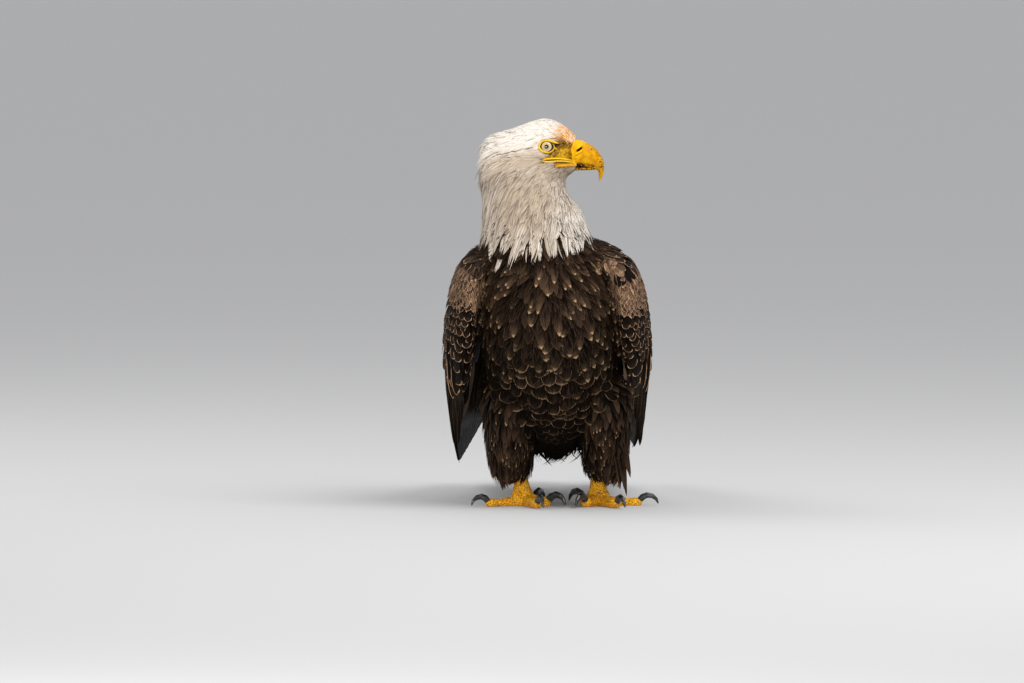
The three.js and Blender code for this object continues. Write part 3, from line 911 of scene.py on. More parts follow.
# Feathers under the tail are nearly black: their own dark brown with painted shade, low between the
# thighs.
coat(
    "feathers_vent", body_finish, wisp,
    lambda x, y, z, region, normal: on_trunk(x, y, z, region) & (z <= 100)
    & (normal[1] < 0.9) & (y < TAIL_ROOT),
    3.4, 40, 1.7, down_the_body, lambda x, y, z, chance: (-0.6 + 0.3 * chance[0], 0, 0), 13,
    lift=2, stray=16, cling=0.3, droop=0.5, spread=0.3, tuft_gap=9,
)
coat(
    "feathers_back", body_finish, rounded,
    lambda x, y, z, region, normal: on_trunk(x, y, z, region) & (normal[1] >= MANTLE_TURN)
    & (z > 88) & (y < TAIL_TOP),
    8.5, 44, 11, lambda x, y, z: (0.15 * x / 90, 0.75, -0.8),
    lambda x, y, z, chance: (0.2 + 0.6 * chance[0], 0, 0.35 * chance[1]), 14,
)
coat(
    "feathers_tail_root", white_finish, rounded,
    lambda x, y, z, region, normal: (region == TRUNK) & (y >= TAIL_ROOT)
    & ((y >= TAIL_TOP) | (normal[1] < MANTLE_TURN)),
    10, 46, 9, lambda x, y, z: (0, 1, -0.35),
    lambda x, y, z, chance: (chance[0], 0.3 * chance[1], 0), 16, depth=6,
)

# ---- Thighs -----------------------------------------------------------------------------
# Soft dark trousers over each thigh, whose last long plumes hang free round the shank and
# longest on its outer side.
THIGH_HEIGHTS = (34, 60, 90, 130, 190)
BETWEEN_THIGHS = 12
for side, way, seed in (("right", -1, 21), ("left", 1, 22)):
    knee_x = in_mm(middle_of("shank_" + side)[:])[0]

    def outer_side(x, y, z):
        return ramp(way * (x - knee_x), 6, 34) * (1 - ramp(z, 90, 140))

    coat(
        "feathers_thigh_" + side, body_finish, pointed,
        lambda x, y, z, region, normal: (region == THIGH) & (way * (x - BETWEEN_THIGHS) > 0),
        lambda x, y, z: np.interp(z, THIGH_HEIGHTS, (3.2, 3.8, 4.6, 5.6, 7)),
        lambda x, y, z: np.interp(z, THIGH_HEIGHTS, (18, 26, 28, 28, 30))
        + 12 * outer_side(x, y, z),
        lambda x, y, z: np.interp(z, THIGH_HEIGHTS, (1.3, 1.9, 2.8, 3.8, 5.5)),
        lambda x, y, z: (0.12 * way * outer_side(x, y, z), 0.12, -1),
        lambda x, y, z, chance: (
            0.75 * chance[0] - 0.1, 0.7 * (chance[1] > 0.85), 0.25 * outer_side(x, y, z)
        ),
        seed, lift=2.2, stray=9, cling=0.45, droop=0.12, depth=8, tuft_gap=11,
        tuft_pull=0.45,
    )

THIGH_LOCKS = (
    ((-76, 74), (-76, 38)), ((-70, 66), (-63, 21)), ((-60, 60), (-56, 29)),
    ((82, 64), (79, 28)), ((94, 70), (97, 23)), ((98, 74), (106, 15)), ((99, 86), (111, 42)),
)
locks(
    "locks_thighs", body_finish, pointed, THIGH_LOCKS, 15, 1.7,
    lambda chance: (0.7 * chance[0], 0.6 * (chance[1] > 0.85), 0.1), 23,
)

# ---- Wing coverts -----------------------------------------------------------------------
# Small feathers tile the wing in rows from its bend, growing in size towards the quills.
# Their edges are worn to a rusty tan, which draws scales over the dark brown. Broad plain
# scapulars lie over the shoulder, and long coverts over the roots of the quills.
WING_PIVOT = (60, 320)  # mm back and up, about which the left wing is a little raised
WING_LIFT = {"right": 0.0, "left": math.radians(3.4)}
# The wing's lower and upper edges in side view, in mm back and up, from shoulder to tip.
LOWER_EDGE = (
    (-34, 356), (-72, 322), (-84, 283), (-68, 230), (-18, 174), (60, 130), (152, 98), (262, 66),
    (362, 40), (440, 30),
)
UPPER_EDGE = (
    (28, 374), (74, 362), (120, 322), (166, 276), (212, 228), (258, 186), (304, 146), (352, 106),
    (404, 68), (448, 37),
)
WING_RUN = 570  # mm along an edge


class WingPlan:
    """A wing in side view, measured along it from shoulder to tip, and across it from the
    lower edge to the upper one, both from 0 to 1."""

    def __init__(self, side):
        turn = WING_LIFT[side]
        self.axes = np.array(((math.cos(turn), math.sin(turn)), (-math.sin(turn), math.cos(turn))))
        along, across = np.meshgrid(np.linspace(0, 1, 161), np.linspace(0, 1, 41), indexing="ij")
        flat = self.flat(along, across)
        paces = (np.gradient(flat, axis=0) * 160).reshape(-1, 2)
        self.along, self.across = along.ravel(), across.ravel()
        self.places = flat.reshape(-1, 2)
        self.lengths = np.linalg.norm(paces, axis=1)
        self.runs = unit(paces)
        self.tree = tree_of(np.pad(self.places, ((0, 0), (0, 1))))

    def flat(self, along, across):
        """How far back and up in mm a place of the wing is."""
        stations = np.linspace(0, 1, len(LOWER_EDGE))
        low, high = (
            np.stack([np.interp(along, stations, column) for column in zip(*edge)], -1)
            for edge in (LOWER_EDGE, UPPER_EDGE)
        )
        across = np.asarray(across)[..., None]
        return (low + (high - low) * across - WING_PIVOT) @ self.axes + WING_PIVOT

    def find(self, y, z):
        return [self.tree.find(place)[1] for place in zip(y, z, np.zeros(len(y)))]

    def reach(self, y, z):
        """How far along and across the wing some places are."""
        found = self.find(y, z)
        ahead = ((np.stack([y, z], 1) - self.places[found]) * self.runs[found]).sum(1)
        return self.along[found] + ahead / self.lengths[found], self.across[found]

    def run(self, x, y, z):
        """The lie of the wing's feathers, towards its tip."""
        back, up = self.runs[self.find(y, z)].T
        return 0, back, up


def on_wing(plan, way, x, y, z, region):
    """Which places are on a wing, and how far along and across it those are."""
    near = ((region == WING) | (region == FLIGHT)) & (way * x > 0)
    along, across = np.zeros((2, len(y)))
    along[near], across[near] = plan.reach(y[near], z[near])
    return near, along, across


COVERT_REACH = (0, 0.07, 0.12, 0.20, 0.28, 0.33, 0.36, 0.44)
COVERT_WIDTHS = (9, 8, 5, 5.2, 6.4, 7.8, 10, 12)
BEND = (0.08, 0.11, 0.16, 0.22)  # how far along the wing its bend starts and ends
SHOULDER_SHADOW = (100, 333)  # x and z of a painted shadow under the left scapulars
ROW_SHARE = 1.25  # rows apart, over the half width of a feather
along_rows = np.linspace(0, 0.6, 241)
row_widths = np.interp(along_rows, COVERT_REACH, COVERT_WIDTHS)
row_numbers = np.cumsum(WING_RUN * along_rows[1] / ROW_SHARE / row_widths)

wing_finish = brown_finish(
    "wing_coverts", "brown_plumage", 0.6, (0.006, 0.004, 0.003), (0.080, 0.048, 0.031),
    (0.66, 0.40, 0.23), 0.14, 0.62,
)
bend_finish = brown_finish(
    "bend_of_wing", "brown_plumage", 0.6, (0.045, 0.027, 0.018), (0.25, 0.145, 0.088),
    (0.72, 0.44, 0.26), 0.10, 0.5,
)
long_finish = brown_finish(
    "long_coverts", "flight_feathers", 0.6, (0.006, 0.004, 0.003), (0.06, 0.036, 0.024),
    (0.66, 0.40, 0.23), 0.17, 0.25,
)
wing_plans = {side: WingPlan(side) for side in ("right", "left")}


def bend_share(along):
    """How thickly the small feathers of the bend stand, from 0 to 1."""
    return ramp(along, *BEND[:2]) * (1 - ramp(along, *BEND[2:]))


for side, way, seed in (("right", -1, 31), ("left", 1, 32)):
    plan = wing_plans[side]

    def covert_width(x, y, z):
        along, across = plan.reach(y, z)
        return np.interp(along, COVERT_REACH, COVERT_WIDTHS) * (1 + 0.7 * ramp(across, 0.5, 0.9))

    def covert_length(x, y, z):
        along, across = plan.reach(y, z)
        slender = 3.0 + 1.6 * ramp(along, 0.33, 0.42) + 1.0 * (1 - ramp(along, 0.08, 0.12))
        return slender * covert_width(x, y, z)

    def covert_tint(x, y, z, chance):
        along, across = plan.reach(y, z)
        shoulder = 1 - ramp(along + 0.2 * across, 0.09, 0.13)
        rim = (0.65 + 0.35 * chance[1]) * (1 - 0.7 * shoulder) * (1 - 0.5 * ramp(across, 0.5, 0.9))
        # The shoulder is paler and greyer; the left one, on the side of the key light, paler still:
        # painted light.
        tone = 0.30 * chance[0] + (0.4 + 0.75 * (way > 0)) * shoulder
        tone += 0.9 * bend_share(along) * (1 - shoulder)
        # Coverts in the painted shadow under the left scapulars are black, with no rim.
        gap = np.hypot((x - SHOULDER_SHADOW[0]) / 9, (z - SHOULDER_SHADOW[1]) / 6) < 1
        return np.where(gap, -1, tone), 0, rim * ~gap

    def is_bend(x, y, z, region, normal):
        near, along, across = on_wing(plan, way, x, y, z, region)
        return near & (z > 180) & (bend_share(along) > chance_at(x, y, z))

    def bend_tint(x, y, z, chance):
        tone = 0.1 + 0.8 * chance[1] + 0.5 * (chance[0] > 0.85)
        return tone, 0.5 * chance[0], 0.4 + 0.6 * chance[2]

    def covert_rows(x, y, z, normal):
        """Rows across the wing, and how far round it from the inside out a place is."""
        along, across = plan.reach(y, z)
        return np.interp(along, along_rows, row_numbers), way * x + 180 * across * np.sign(
            way * normal[0]
        )

    def is_covert(x, y, z, region, normal):
        near, along, across = on_wing(plan, way, x, y, z, region)
        return near & (along < np.interp(across, (0, 0.3, 0.7, 1), (0.43, 0.40, 0.36, 0.30)))

    coat(
        "coverts_wing_" + side, wing_finish, rounded, is_covert,
        lambda x, y, z: 1.42 * covert_width(x, y, z), covert_length, covert_width, plan.run,
        covert_tint, seed, rows=covert_rows, depth=4.5, rise=0.3, lift=0.9, stray=3.5,
        spread=0.05, roll=2.5, camber=0.10, thickness=0.3,
    )
    coat(
        "coverts_bend_" + side, bend_finish, pointed, is_bend, 5.0,
        lambda x, y, z: 19 + 5 * ramp(z, 250, 300), 4.2, plan.run, bend_tint, seed + 2,
        depth=3, rise=0.3, lift=1.1, stray=3.5, spread=0.06, camber=0.15, thickness=0.25,
    )

# ---- Flight feathers --------------------------------------------------------------------
# Long stiff quills, folded like a fan: ten primaries along the wing's lower edge, the
# secondaries over them and the tertials on top. They show on the outside of the wing,
# and as a closed stack from inside and in front.
quill = feather_pattern(tallies=14, widest=0.35, point=4.5)
STACK_DEPTH = 2.6
STACK_COUNT = 15

flight_finish = Finish("flight_feathers", "flight_feathers", Roughness=0.7, Specular_IOR_Level=0)
side, along, margin = flight_finish.attribute("vane")
shade, paleness, underside = flight_finish.attribute("tint")
barbs = flight_finish.noise(
    1.5, flight_finish.joined(side * 2 + along * 60, shade * 30, along * 3), detail=2
)
flight_brown = flight_finish.mix(
    ((barbs - 0.5) * 1.2 + shade * 0.6 + 0.1).clamp(), (0.005, 0.004, 0.003), (0.028, 0.021, 0.016)
)
flight_brown = flight_finish.mix(paleness * (0.4 + barbs), flight_brown, (0.17, 0.12, 0.085))
low = 1 - flight_finish.places()[2].ramp(98, 124)
grey_tip = underside * low * (0.3 + barbs)
flight_brown = flight_finish.mix(grey_tip.clamp(), flight_brown, (0.12, 0.12, 0.124))
shaft = (1 - abs(side)).ramp(0.93, 1.0) * 0.5
flight_brown = flight_finish.mix(shaft, flight_brown, (0.09, 0.07, 0.05))
edge_wear = (1 - margin.ramp(0.0, 0.12)) * along.ramp(0.3, 0.6) * 0.5
flight_finish.colour(flight_finish.mix(edge_wear, flight_brown, (0.20, 0.13, 0.085)))

# Rows of quills: their count, how far along and across the wing the first and the last of
# them start, the same for their ends, half widths of the first and last, and heights over
# the wing.
OUTER_ROWS = (
    (10, ((0.42, 0.40), (0.03, 0.30)), ((0.97, 0.86), (0.03, 0.60)), (9, 15), (-2.4, -1.2)),
    (11, ((0.36, 0.34), (0.16, 0.72)), ((0.82, 0.70), (0.30, 0.92)), (17, 19), (-1.0, 0.4)),
    (4, ((0.24, 0.20), (0.70, 0.92)), ((0.66, 0.54), (0.80, 0.97)), (20, 19), (0.6, 1.4)),
)


def outer_quills(side, way, seed):
    """A wing's quills on its outer face, as a fan."""
    rng = np.random.default_rng(seed)
    plan = wing_plans[side]
    spines, ups, half_widths, tints = [], [], [], []
    for count, starts, ends, widths, heights in OUTER_ROWS:
        for i in range(count):
            share = i / (count - 1)
            start, end = (
                np.array([np.interp(share, (0, 1), pair) for pair in pairs])
                for pairs in (starts, ends)
            )
            reach = start + (end - start) * quill["stations"][:, None]
            places = plan.flat(reach[:, 0], reach[:, 1])
            hits = [
                outer_form.tree.ray_cast(place(way * 300, *at_place), Vector((-way, 0, 0)))
                for at_place in places
            ]
            seen = [k for k, hit in enumerate(hits) if hit[0] and way * hit[0].x > 60 * MM]
            spine = np.array([tuple(place(0, *at_place)) for at_place in places])
            spine[:, 0] = np.interp(range(len(hits)), seen, [hits[k][0].x for k in seen])
            ease(spine)
            up = outer_form.nearest(spine)[1] * (1, 0.4, 0.4) + (way * 1.0, 0, 0)
            run = unit(np.gradient(spine, axis=0))
            up = unit(up - run * (run * up).sum(-1, keepdims=True))
            height = np.interp(share, (0, 1), heights) - 3 * (1 - quill["stations"]) ** 4
            spines.append(spine + up * (height * MM)[:, None])
            ups.append(up)
            half_widths.append(np.interp(share, (0, 1), widths) * MM)
            tints.append((rng.random(), 0.25 * rng.random() ** 2, 0))
    mesh_of_vanes(
        "quills_" + side, flight_finish, quill, np.array(spines), np.array(ups),
        np.array(half_widths), 0.7, 0.10, np.array(tints), 1,
    )


# Feathers along the front of a wing: root and tip, as how far out and up they are in mm, half
# width, and for the coverts shade, drop and fringe, or for the quills shade, paleness and
# greyness of the underside.
FRONT_COVERTS = (
    ((137, 226), (131, 146), 6.0, (0.0, 0.0, 0.8)), ((131, 208), (126, 152), 5.5, (0.0, 0.0, 0.6)),
)
FRONT_QUILLS = (
    ((133, 192), (127, 58), 5.5, (0.1, 0.0, 0)), ((129, 188), (124, 68), 6.0, (0.5, 0.05, 0)),
    ((124, 180), (120, 104), 6.0, (0.5, 0.05, 0)), ((110, 184), (113, 128), 5.5, (0.3, 0.05, 0)),
    ((103, 192), (117, 110), 6.0, (0.9, 0.80, 0)),
)

# The stack is near black: its own dark colour deepened by painted shade between wing and body. Low
# down it is grey, lighter at the edges of its quills.
stack_finish = Finish("quill_stack", "flight_feathers", Roughness=0.8, Specular_IOR_Level=0)
side = stack_finish.attribute("vane")[0]
low = 1 - stack_finish.places()[2].ramp(98, 124)
stack_finish.colour(
    stack_finish.mix(low * (0.3 + 0.7 * abs(side)), (0.004, 0.0036, 0.0032), (0.13, 0.13, 0.134))
)

for side, way, seed in (("right", -1, 41), ("left", 1, 42)):
    plan = wing_plans[side]
    outer_quills(side, way, seed)
    for name, pattern, finish, rows in (
        ("coverts_front_", rounded, long_finish, FRONT_COVERTS),
        ("quills_front_", quill, flight_finish, FRONT_QUILLS),
    ):
        roots, tips, half_widths, tints = (np.array(column, float) for column in zip(*rows))
        laid(
            name + side, finish, pattern, roots * (way, 1) + (0, 6 * (way > 0)),
            tips * (way, 1) + (0, 6 * (way > 0)), half_widths, tints, lean=4, lift=6,
            depth=0, thickness=0.6, camber=0.1,
        )

    stack = smooth_twin("quill_stack_" + side, (f"wing_{side}_flight",), 2.5, 6)
    points = points_of(stack)
    x, y, z = in_mm(points)
    along, across = plan.reach(y, z)
    over_quill = np.modf(across * STACK_COUNT)[0]
    ridge = 1.1 * (over_quill - 0.5)
    inward = STACK_DEPTH * (1 - 0.7 * ramp(along, 0.75, 0.95))
    move_points(stack, points - normals_of(stack) * ((inward - ridge) * MM)[:, None])
    store(stack.data, "vane", np.stack([over_quill * 2 - 1, along, np.full(len(along), 0.5)], 1))
    finished(stack, stack_finish, f"wing_{side}_flight")

    def is_inner_root(x, y, z, region, normal):
        near, along, across = on_wing(plan, way, x, y, z, region)
        return near & (along > 0.37) & (along < 0.44) & ((across < 0.06) | (way * normal[0] < 0.2))

    coat(
        "under_quills_" + side, flight_finish, quill, is_inner_root, 9.5,
        lambda x, y, z: WING_RUN * (0.50 - 0.25 * plan.reach(y, z)[1]), 8, plan.run,
        lambda x, y, z, chance: (0.5 * chance[0] - 0.2, 0.08 * chance[1] ** 2, 1), seed + 4,
        depth=3, rise=-1.5, lift=0.8, stray=1.5, roll=4, spread=0.08, thickness=0.7,
        camber=0.1, map_axis=1,
    )

# ---- Tail -------------------------------------------------------------------------------
# Twelve white tail feathers lie in a flat fan, the middle pair on top.
TAIL_BACK = (150, 205, 290, 370, 432)
TAIL_UP = (150, 136, 120, 106, 96)
TAIL_X = 4
TAIL_COUNT = 12
tail_rng = np.random.default_rng(51)
tail_spines = []
for i in range(TAIL_COUNT):
    out = i - (TAIL_COUNT - 1) / 2
    fan = quill["stations"]
    back = 140 + (292 - 0.5 * out**2) * fan
    x = TAIL_X + out * (2.5 + 5.0 * fan)
    up = np.interp(back, TAIL_BACK, TAIL_UP) + 5 - 0.9 * abs(out) - 0.006 * (x - TAIL_X) ** 2
    tail_spines.append([tuple(place(*spot)) for spot in zip(x, back, up)])
tail_spines = np.array(tail_spines)
tail_ups = np.zeros_like(tail_spines)
tail_ups[..., 2] = 1
tail_finish = Finish("tail_feathers", "white_plumage", Roughness=0.65, Specular_IOR_Level=0.2)
side, along = tail_finish.attribute("vane")[:2]
shade = tail_finish.attribute("tint")[0]
barbs = tail_finish.noise(1.5, tail_finish.joined(side * 2 + along * 60, shade * 30, 0))
tail_white = tail_finish.mix(
    (barbs * 0.8 + shade * 0.3).clamp(), (0.55, 0.50, 0.42), (0.84, 0.81, 0.75)
)
worn_tip = along.ramp(0.93, 1.0) * barbs * 0.6
tail_finish.colour(tail_finish.mix(worn_tip, tail_white, (0.30, 0.24, 0.17)))
mesh_of_vanes(
    "tail_quills", tail_finish, quill, tail_spines, tail_ups, np.full(TAIL_COUNT, 15 * MM),
    0.7, 0.06, tail_rng.random((TAIL_COUNT, 3)), 0, "tail",
)

# ---- Eyes -------------------------------------------------------------------------------
# Each eye is a wet ball with a pale iris round a small pupil and a dark rim, set under
# the brow.
EYE_RADIUS = 11.5
EYE_PLACE = (-3.5, 493.8)  # x and z
eye_finish = Finish(
    "wet_eye", "eye", Roughness=0.25, Specular_IOR_Level=0.2, Coat_Weight=0.4, Coat_Roughness=0.02
)
x, y, z = eye_finish.places()
radius = ((x - EYE_PLACE[0]) ** 2 + (z - EYE_PLACE[1]) ** 2) ** 0.5
streaks = eye_finish.noise(260, eye_finish.position(), detail=3)
iris = eye_finish.mix(
    ((radius - 2.2) / 4.6 + (streaks - 0.5) * 0.6).clamp(), (0.45, 0.32, 0.12), (0.62, 0.50, 0.26)
)
iris = eye_finish.mix(radius.ramp(6.3, 7.0), iris, (0.008, 0.006, 0.006))
from_lid = (((x - EYE_OPENING[0]) / 1.15) ** 2 + (z - EYE_OPENING[1]) ** 2) ** 0.5
iris = eye_finish.mix(from_lid.ramp(8.4, 9.0), iris, (0.34, 0.22, 0.12))
eye_finish.colour(eye_finish.mix(1 - radius.ramp(2.6, 3.2), iris, (0.002, 0.002, 0.002)))
for side, way in (("right", -1), ("left", 1)):
    bpy.ops.mesh.primitive_uv_sphere_add(
        segments=64, ring_count=32, radius=EYE_RADIUS * MM,
        location=middle_of("eye_" + side), rotation=(way * -math.pi / 2, 0, 0),
    )
    ball = bpy.context.object
    ball.name = "eyeball_" + side
    bpy.ops.object.transform_apply(location=True, rotation=True, scale=True)
    bpy.ops.object.shade_smooth()
    finished(ball, eye_finish, "eye_" + side)

# ---- Bare skin of the face --------------------------------------------------------------
# A yellow lid rims each eye, and a bare yellow brow stands over it. Two yellow folds of
# the gape run back from the bill to below the eye. Fine bristles grow before the eye.
yellow_finish = Finish("yellow_skin", "cere", Roughness=0.42, Specular_IOR_Level=0.3)
grain = yellow_finish.noise(900, yellow_finish.position(), detail=3)
yellow_finish.colour(
    yellow_finish.mix(grain.ramp(0.3, 0.7), (0.66, 0.36, 0.004), (0.86, 0.56, 0.012))
)
yellow_finish.bump(grain, 0.3 * MM)
face_twin = twin_of("head", "cere", "bill_upper", "bill_lower", "eye_right", "eye_left")
face_tree = BVHTree.FromPolygons(
    points_of(face_twin).tolist(), [tuple(face.vertices) for face in face_twin.data.polygons]
)
bpy.data.objects.remove(face_twin)


def on_face(way, x, z, proud):
    """A point on the side of the head, a little proud of it."""
    hit = face_tree.ray_cast(place(x, way * 120, z), Vector((0, -way, 0)))[0]
    return hit + Vector((0, way * proud * MM, 0))


def fold(name, path, radii, closed=False):
    """A soft round fold through some points, with its half thickness at each in mm."""
    curve = bpy.data.curves.new(name, "CURVE")
    curve.dimensions = "3D"
    curve.bevel_depth = MM
    curve.bevel_resolution = 3
    curve.use_fill_caps = True
    line = curve.splines.new("NURBS")
    line.points.add(len(path) - 1)
    line.use_endpoint_u = not closed
    line.use_cyclic_u = closed
    line.resolution_u = 6
    for point, at_place, radius in zip(line.points, path, radii):
        point.co = (*at_place, 1)
        point.radius = radius
    piece = bpy.data.objects.new(name, curve)
    bpy.context.scene.collection.objects.link(piece)
    choose(piece)
    bpy.ops.object.convert(target="MESH")
    bpy.ops.object.shade_smooth()
    return bpy.context.object


# Points of x and z in mm, and half thicknesses.
LID = (
    (-14.25, 494.0), (-11.6, 499.2), (-8.2, 501.6), (-3.7, 501.9), (1.8, 499.9), (5.6, 496.1),
    (6.95, 492.0), (4.2, 488.2), (-1.7, 485.7), (-8.1, 486.8), (-12.35, 489.9),
)
LID_RADII = (1.5, 1.4, 1.2, 1.0, 0.8, 0.9, 1.6, 1.6, 1.2, 1.3, 1.4)
LID_CORNER = ((5.8, 492.4), (7.6, 491.3), (10.2, 490.3))
BROW = ((-8.6, 501.9), (-5, 502.2), (-1, 501.9), (3, 501.1), (7, 499.8), (10, 498.8), (12.5, 498))
UPPER_GAPE = (
    (-8.6, 475.4), (-5, 476.8), (0, 477.2), (10, 477.6), (20, 476.7), (27, 475.4), (34, 473.7),
)
LOWER_GAPE = (
    (-9, 474.6), (-4.5, 473.1), (0, 472.8), (7, 473.7), (13, 474.1), (20, 473.6), (34, 471.6),
)
JAW = ((8.5, 466.4), (16.5, 467.8), (23, 468.2), (29.5, 468.4), (36.5, 468.4))
orange_finish = Finish("orange_skin", "cere", Roughness=0.45, Specular_IOR_Level=0.2)
grain = orange_finish.noise(700, orange_finish.position(), detail=3)
orange_finish.colour(
    orange_finish.mix(grain.ramp(0.3, 0.65), (0.50, 0.22, 0.006), (0.80, 0.38, 0.006))
)
# A dark fold under each brow is a painted shadow of the brow.
brow_shadow_finish = Finish("painted_brow_shadow", "cere", Roughness=0.7, Specular_IOR_Level=0.1)
brow_shadow_finish.colour((0.03, 0.015, 0.008))
BROW_SHADOW = ((-3, 500.3), (1, 499.8), (5, 498.4), (9, 496.9), (12.5, 496.5))
for side, way in (("right", -1), ("left", 1)):
    path = [on_face(way, x, z, 0.1) for x, z in LID]
    finished(fold("eyelid_" + side, path, LID_RADII, closed=True), yellow_finish)
    for name, line, radii, proud, finish in (
        ("lid_corner_", LID_CORNER, (1.7, 1.5, 0.4), 0.0, yellow_finish),
        ("brow_edge_", BROW, (0.7, 1.0, 1.2, 1.5, 1.7, 1.5, 0.4), 1.3, yellow_finish),
        ("brow_shadow_", BROW_SHADOW, (0.3, 0.7, 0.9, 0.9, 0.4), 0.5, brow_shadow_finish),
        ("gape_upper_", UPPER_GAPE, (0.5, 1.1, 1.3, 1.3, 1.3, 1.3, 1.1), 0.2, yellow_finish),
        ("gape_lower_", LOWER_GAPE, (0.5, 1.2, 1.3, 1.1, 1.0, 1.1, 1.2), 0.2, yellow_finish),
        ("jaw_", JAW, (0.8, 2.2, 2.6, 2.6, 2.0), -0.6, orange_finish),
    ):
        path = [on_face(way, x, z, proud) for x, z in line]
        finished(fold(name + side, path, radii), finish)

bristle_finish = Finish("lore_bristles", "cere", Roughness=0.6, Specular_IOR_Level=0.1)
yellowness = bristle_finish.attribute("tint")[1]
bristle_finish.colour(bristle_finish.mix(yellowness, (0.035, 0.014, 0.006), (0.50, 0.24, 0.012)))


def has_bristles(x, y, z, region, normal):
    before_eye = (x > 0) & (x < 31) & (z > 479) & (np.abs(y) > 8) & (from_eye(x, z) > 9.5)
    thinness = 0.3 + 0.5 * ramp(x, 8, 14) * (1 - ramp(z, 489, 496))
    bare = (region == HEAD) & (bareness(x, y, z) > 0.6)
    return bare & before_eye & (chance_at(x, y, z) > thinness)


coat(
    "bristles_lore", bristle_finish, plume, has_bristles, 1.0, 4.0, 0.22,
    lambda x, y, z: (-1, 0, -0.5),
    lambda x, y, z, chance: (0, 0.75 * chance[0] * (1 - ramp(z, 488, 496)), 0), 61,
    depth=0.9, lift=0.7, stray=14, camber=0.1, thickness=0.12,
)
bpy.data.objects.remove(outer_form.piece)

# ---- Bill -------------------------------------------------------------------------------
# One sheath of yellow horn hooks down over the lower jaw. The cere at its base is soft
# skin, pierced by a slanting nostril on each side. Old food has stained the cutting edge.
NOSTRIL = ((37.6, 486.6), (45.2, 491.8))  # x and z of its ends
CREASE = ((36.3, 479.8), (45.2, 485.2))
CERE_SEAM = ((50.5, 498), (45.6, 486))


def by_line(x, z, line):
    """How far along a line from its first end, and how far to its side, places are."""
    (x1, z1), (x2, z2) = line
    right, up = (x2 - x1) / math.dist(*line), (z2 - z1) / math.dist(*line)
    return (x - x1) * right + (z - z1) * up, (z - z1) * right - (x - x1) * up


horn_finish = Finish(
    "yellow_horn", "bill_horn", Roughness=0.42, Specular_IOR_Level=0.10, Coat_Weight=0.02
)
x, y, z = horn_finish.places()
grain = horn_finish.noise(140, horn_finish.position(), detail=5)
fine = horn_finish.noise(420, horn_finish.position(), detail=4)
horn = horn_finish.mix(grain.ramp(0.3, 0.7), (0.47, 0.19, 0.0003), (0.63, 0.31, 0.0008))
cere = horn_finish.mix(grain.ramp(0.3, 0.7), (0.70, 0.34, 0.001), (0.86, 0.46, 0.002))
seam = x - CERE_SEAM[1][0] - (z - CERE_SEAM[1][1]) * 0.41
horn = horn_finish.mix(seam.ramp(-2, 2), cere, horn)
edge_height = z - 465 + (x - 40) * 0.1
edge_stain = (1 - edge_height.ramp(2, 8)) * fine.ramp(0.44, 0.52) * (1 - x.ramp(60, 66))
tip_stain = x.ramp(60, 70) * fine.ramp(0.50, 0.58) * z.ramp(452, 458) * (1 - z.ramp(486, 494))
from_smudge = (((x - 42) / 6.5) ** 2 + ((z - 466.5) / 4) ** 2) ** 0.5
smudge = (1 - from_smudge.ramp(0.6, 1.2)) * fine.ramp(0.34, 0.44)
from_spot = (((x - 57.8) / 1.0) ** 2 + ((z - 489) / 1.5) ** 2) ** 0.5
stains = edge_stain * 0.9 + tip_stain * 0.8 + smudge + (1 - from_spot.ramp(0.6, 1.1)) * 0.8
horn = horn_finish.mix(stains.clamp(), horn, (0.03, 0.02, 0.013))
cere_line = (1 - abs(seam).ramp(0.2, 0.9)) * z.ramp(484, 487) * 0.6
horn = horn_finish.mix(cere_line, horn, (0.55, 0.20, 0.001))
# The crease is painted darker: painted shade in its groove.
along, across = by_line(x, z, CREASE)
crease = (1 - abs(across).ramp(0.2, 0.9)) * (1 - abs(along / 5.2 - 1).ramp(0.8, 1.1))
horn = horn_finish.mix(crease * 0.8, horn, (0.22, 0.07, 0.004))
# The nostril is painted near black: painted shade inside it.
along, across = by_line(x, z, NOSTRIL)
slit = (1 - abs(across / 1.9).ramp(0.6, 1.1)) * (1 - abs(along / 4.4 - 1).ramp(0.8, 1.1))
horn_finish.colour(horn_finish.mix(slit, horn, (0.022, 0.006, 0.004)))
horn_finish.bump(grain + fine * 0.3, 0.25 * MM)


def dent(piece, line, radius, depth):
    """Presses a groove into both sides of a piece, along a line given by x and z in mm."""
    x, y, z = in_mm(points_of(piece))
    along, across = by_line(x, z, line)
    away = np.hypot(along - np.clip(along, 0, math.dist(*line)), across)
    press = depth * (1 - ramp(away, radius * 0.3, radius)) * ramp(np.abs(y), 2, 5)
    moved = points_of(piece)
    moved[:, 1] -= np.sign(y) * press * MM
    move_points(piece, moved)


bill = smooth_twin("bill_sheath", ("bill_upper", "cere"), 0.6, 14)
points = points_of(bill)
x, y, z = in_mm(points)
back = 2.2 + 1.6 * (1 - ramp(np.abs(z - 489), 0, 9))
points[:, 0] -= back * MM * (1 - ramp(x, 34, 44))
points[:, 1] *= 1 + 0.05 * (1 - ramp(x, 33, 40))
points[:, 2] -= 0.8 * MM * (1 - ramp(x, 42, 48)) * ramp(z, 490, 499)
move_points(bill, points)
dent(bill, NOSTRIL, 2.0, 5.0)
dent(bill, CREASE, 1.8, 0.9)
dent(bill, CERE_SEAM, 2.2, 0.5)
finished(bill, horn_finish, "bill_upper", "cere")
lower_bill = smooth_twin("lower_bill", ("bill_lower",), 0.6, 6)
points = points_of(lower_bill)
x, y, z = in_mm(points)
points[:, 0] += 10 * MM * ramp(x, 44, 56)
move_points(lower_bill, points)
finished(lower_bill, horn_finish, "bill_lower")

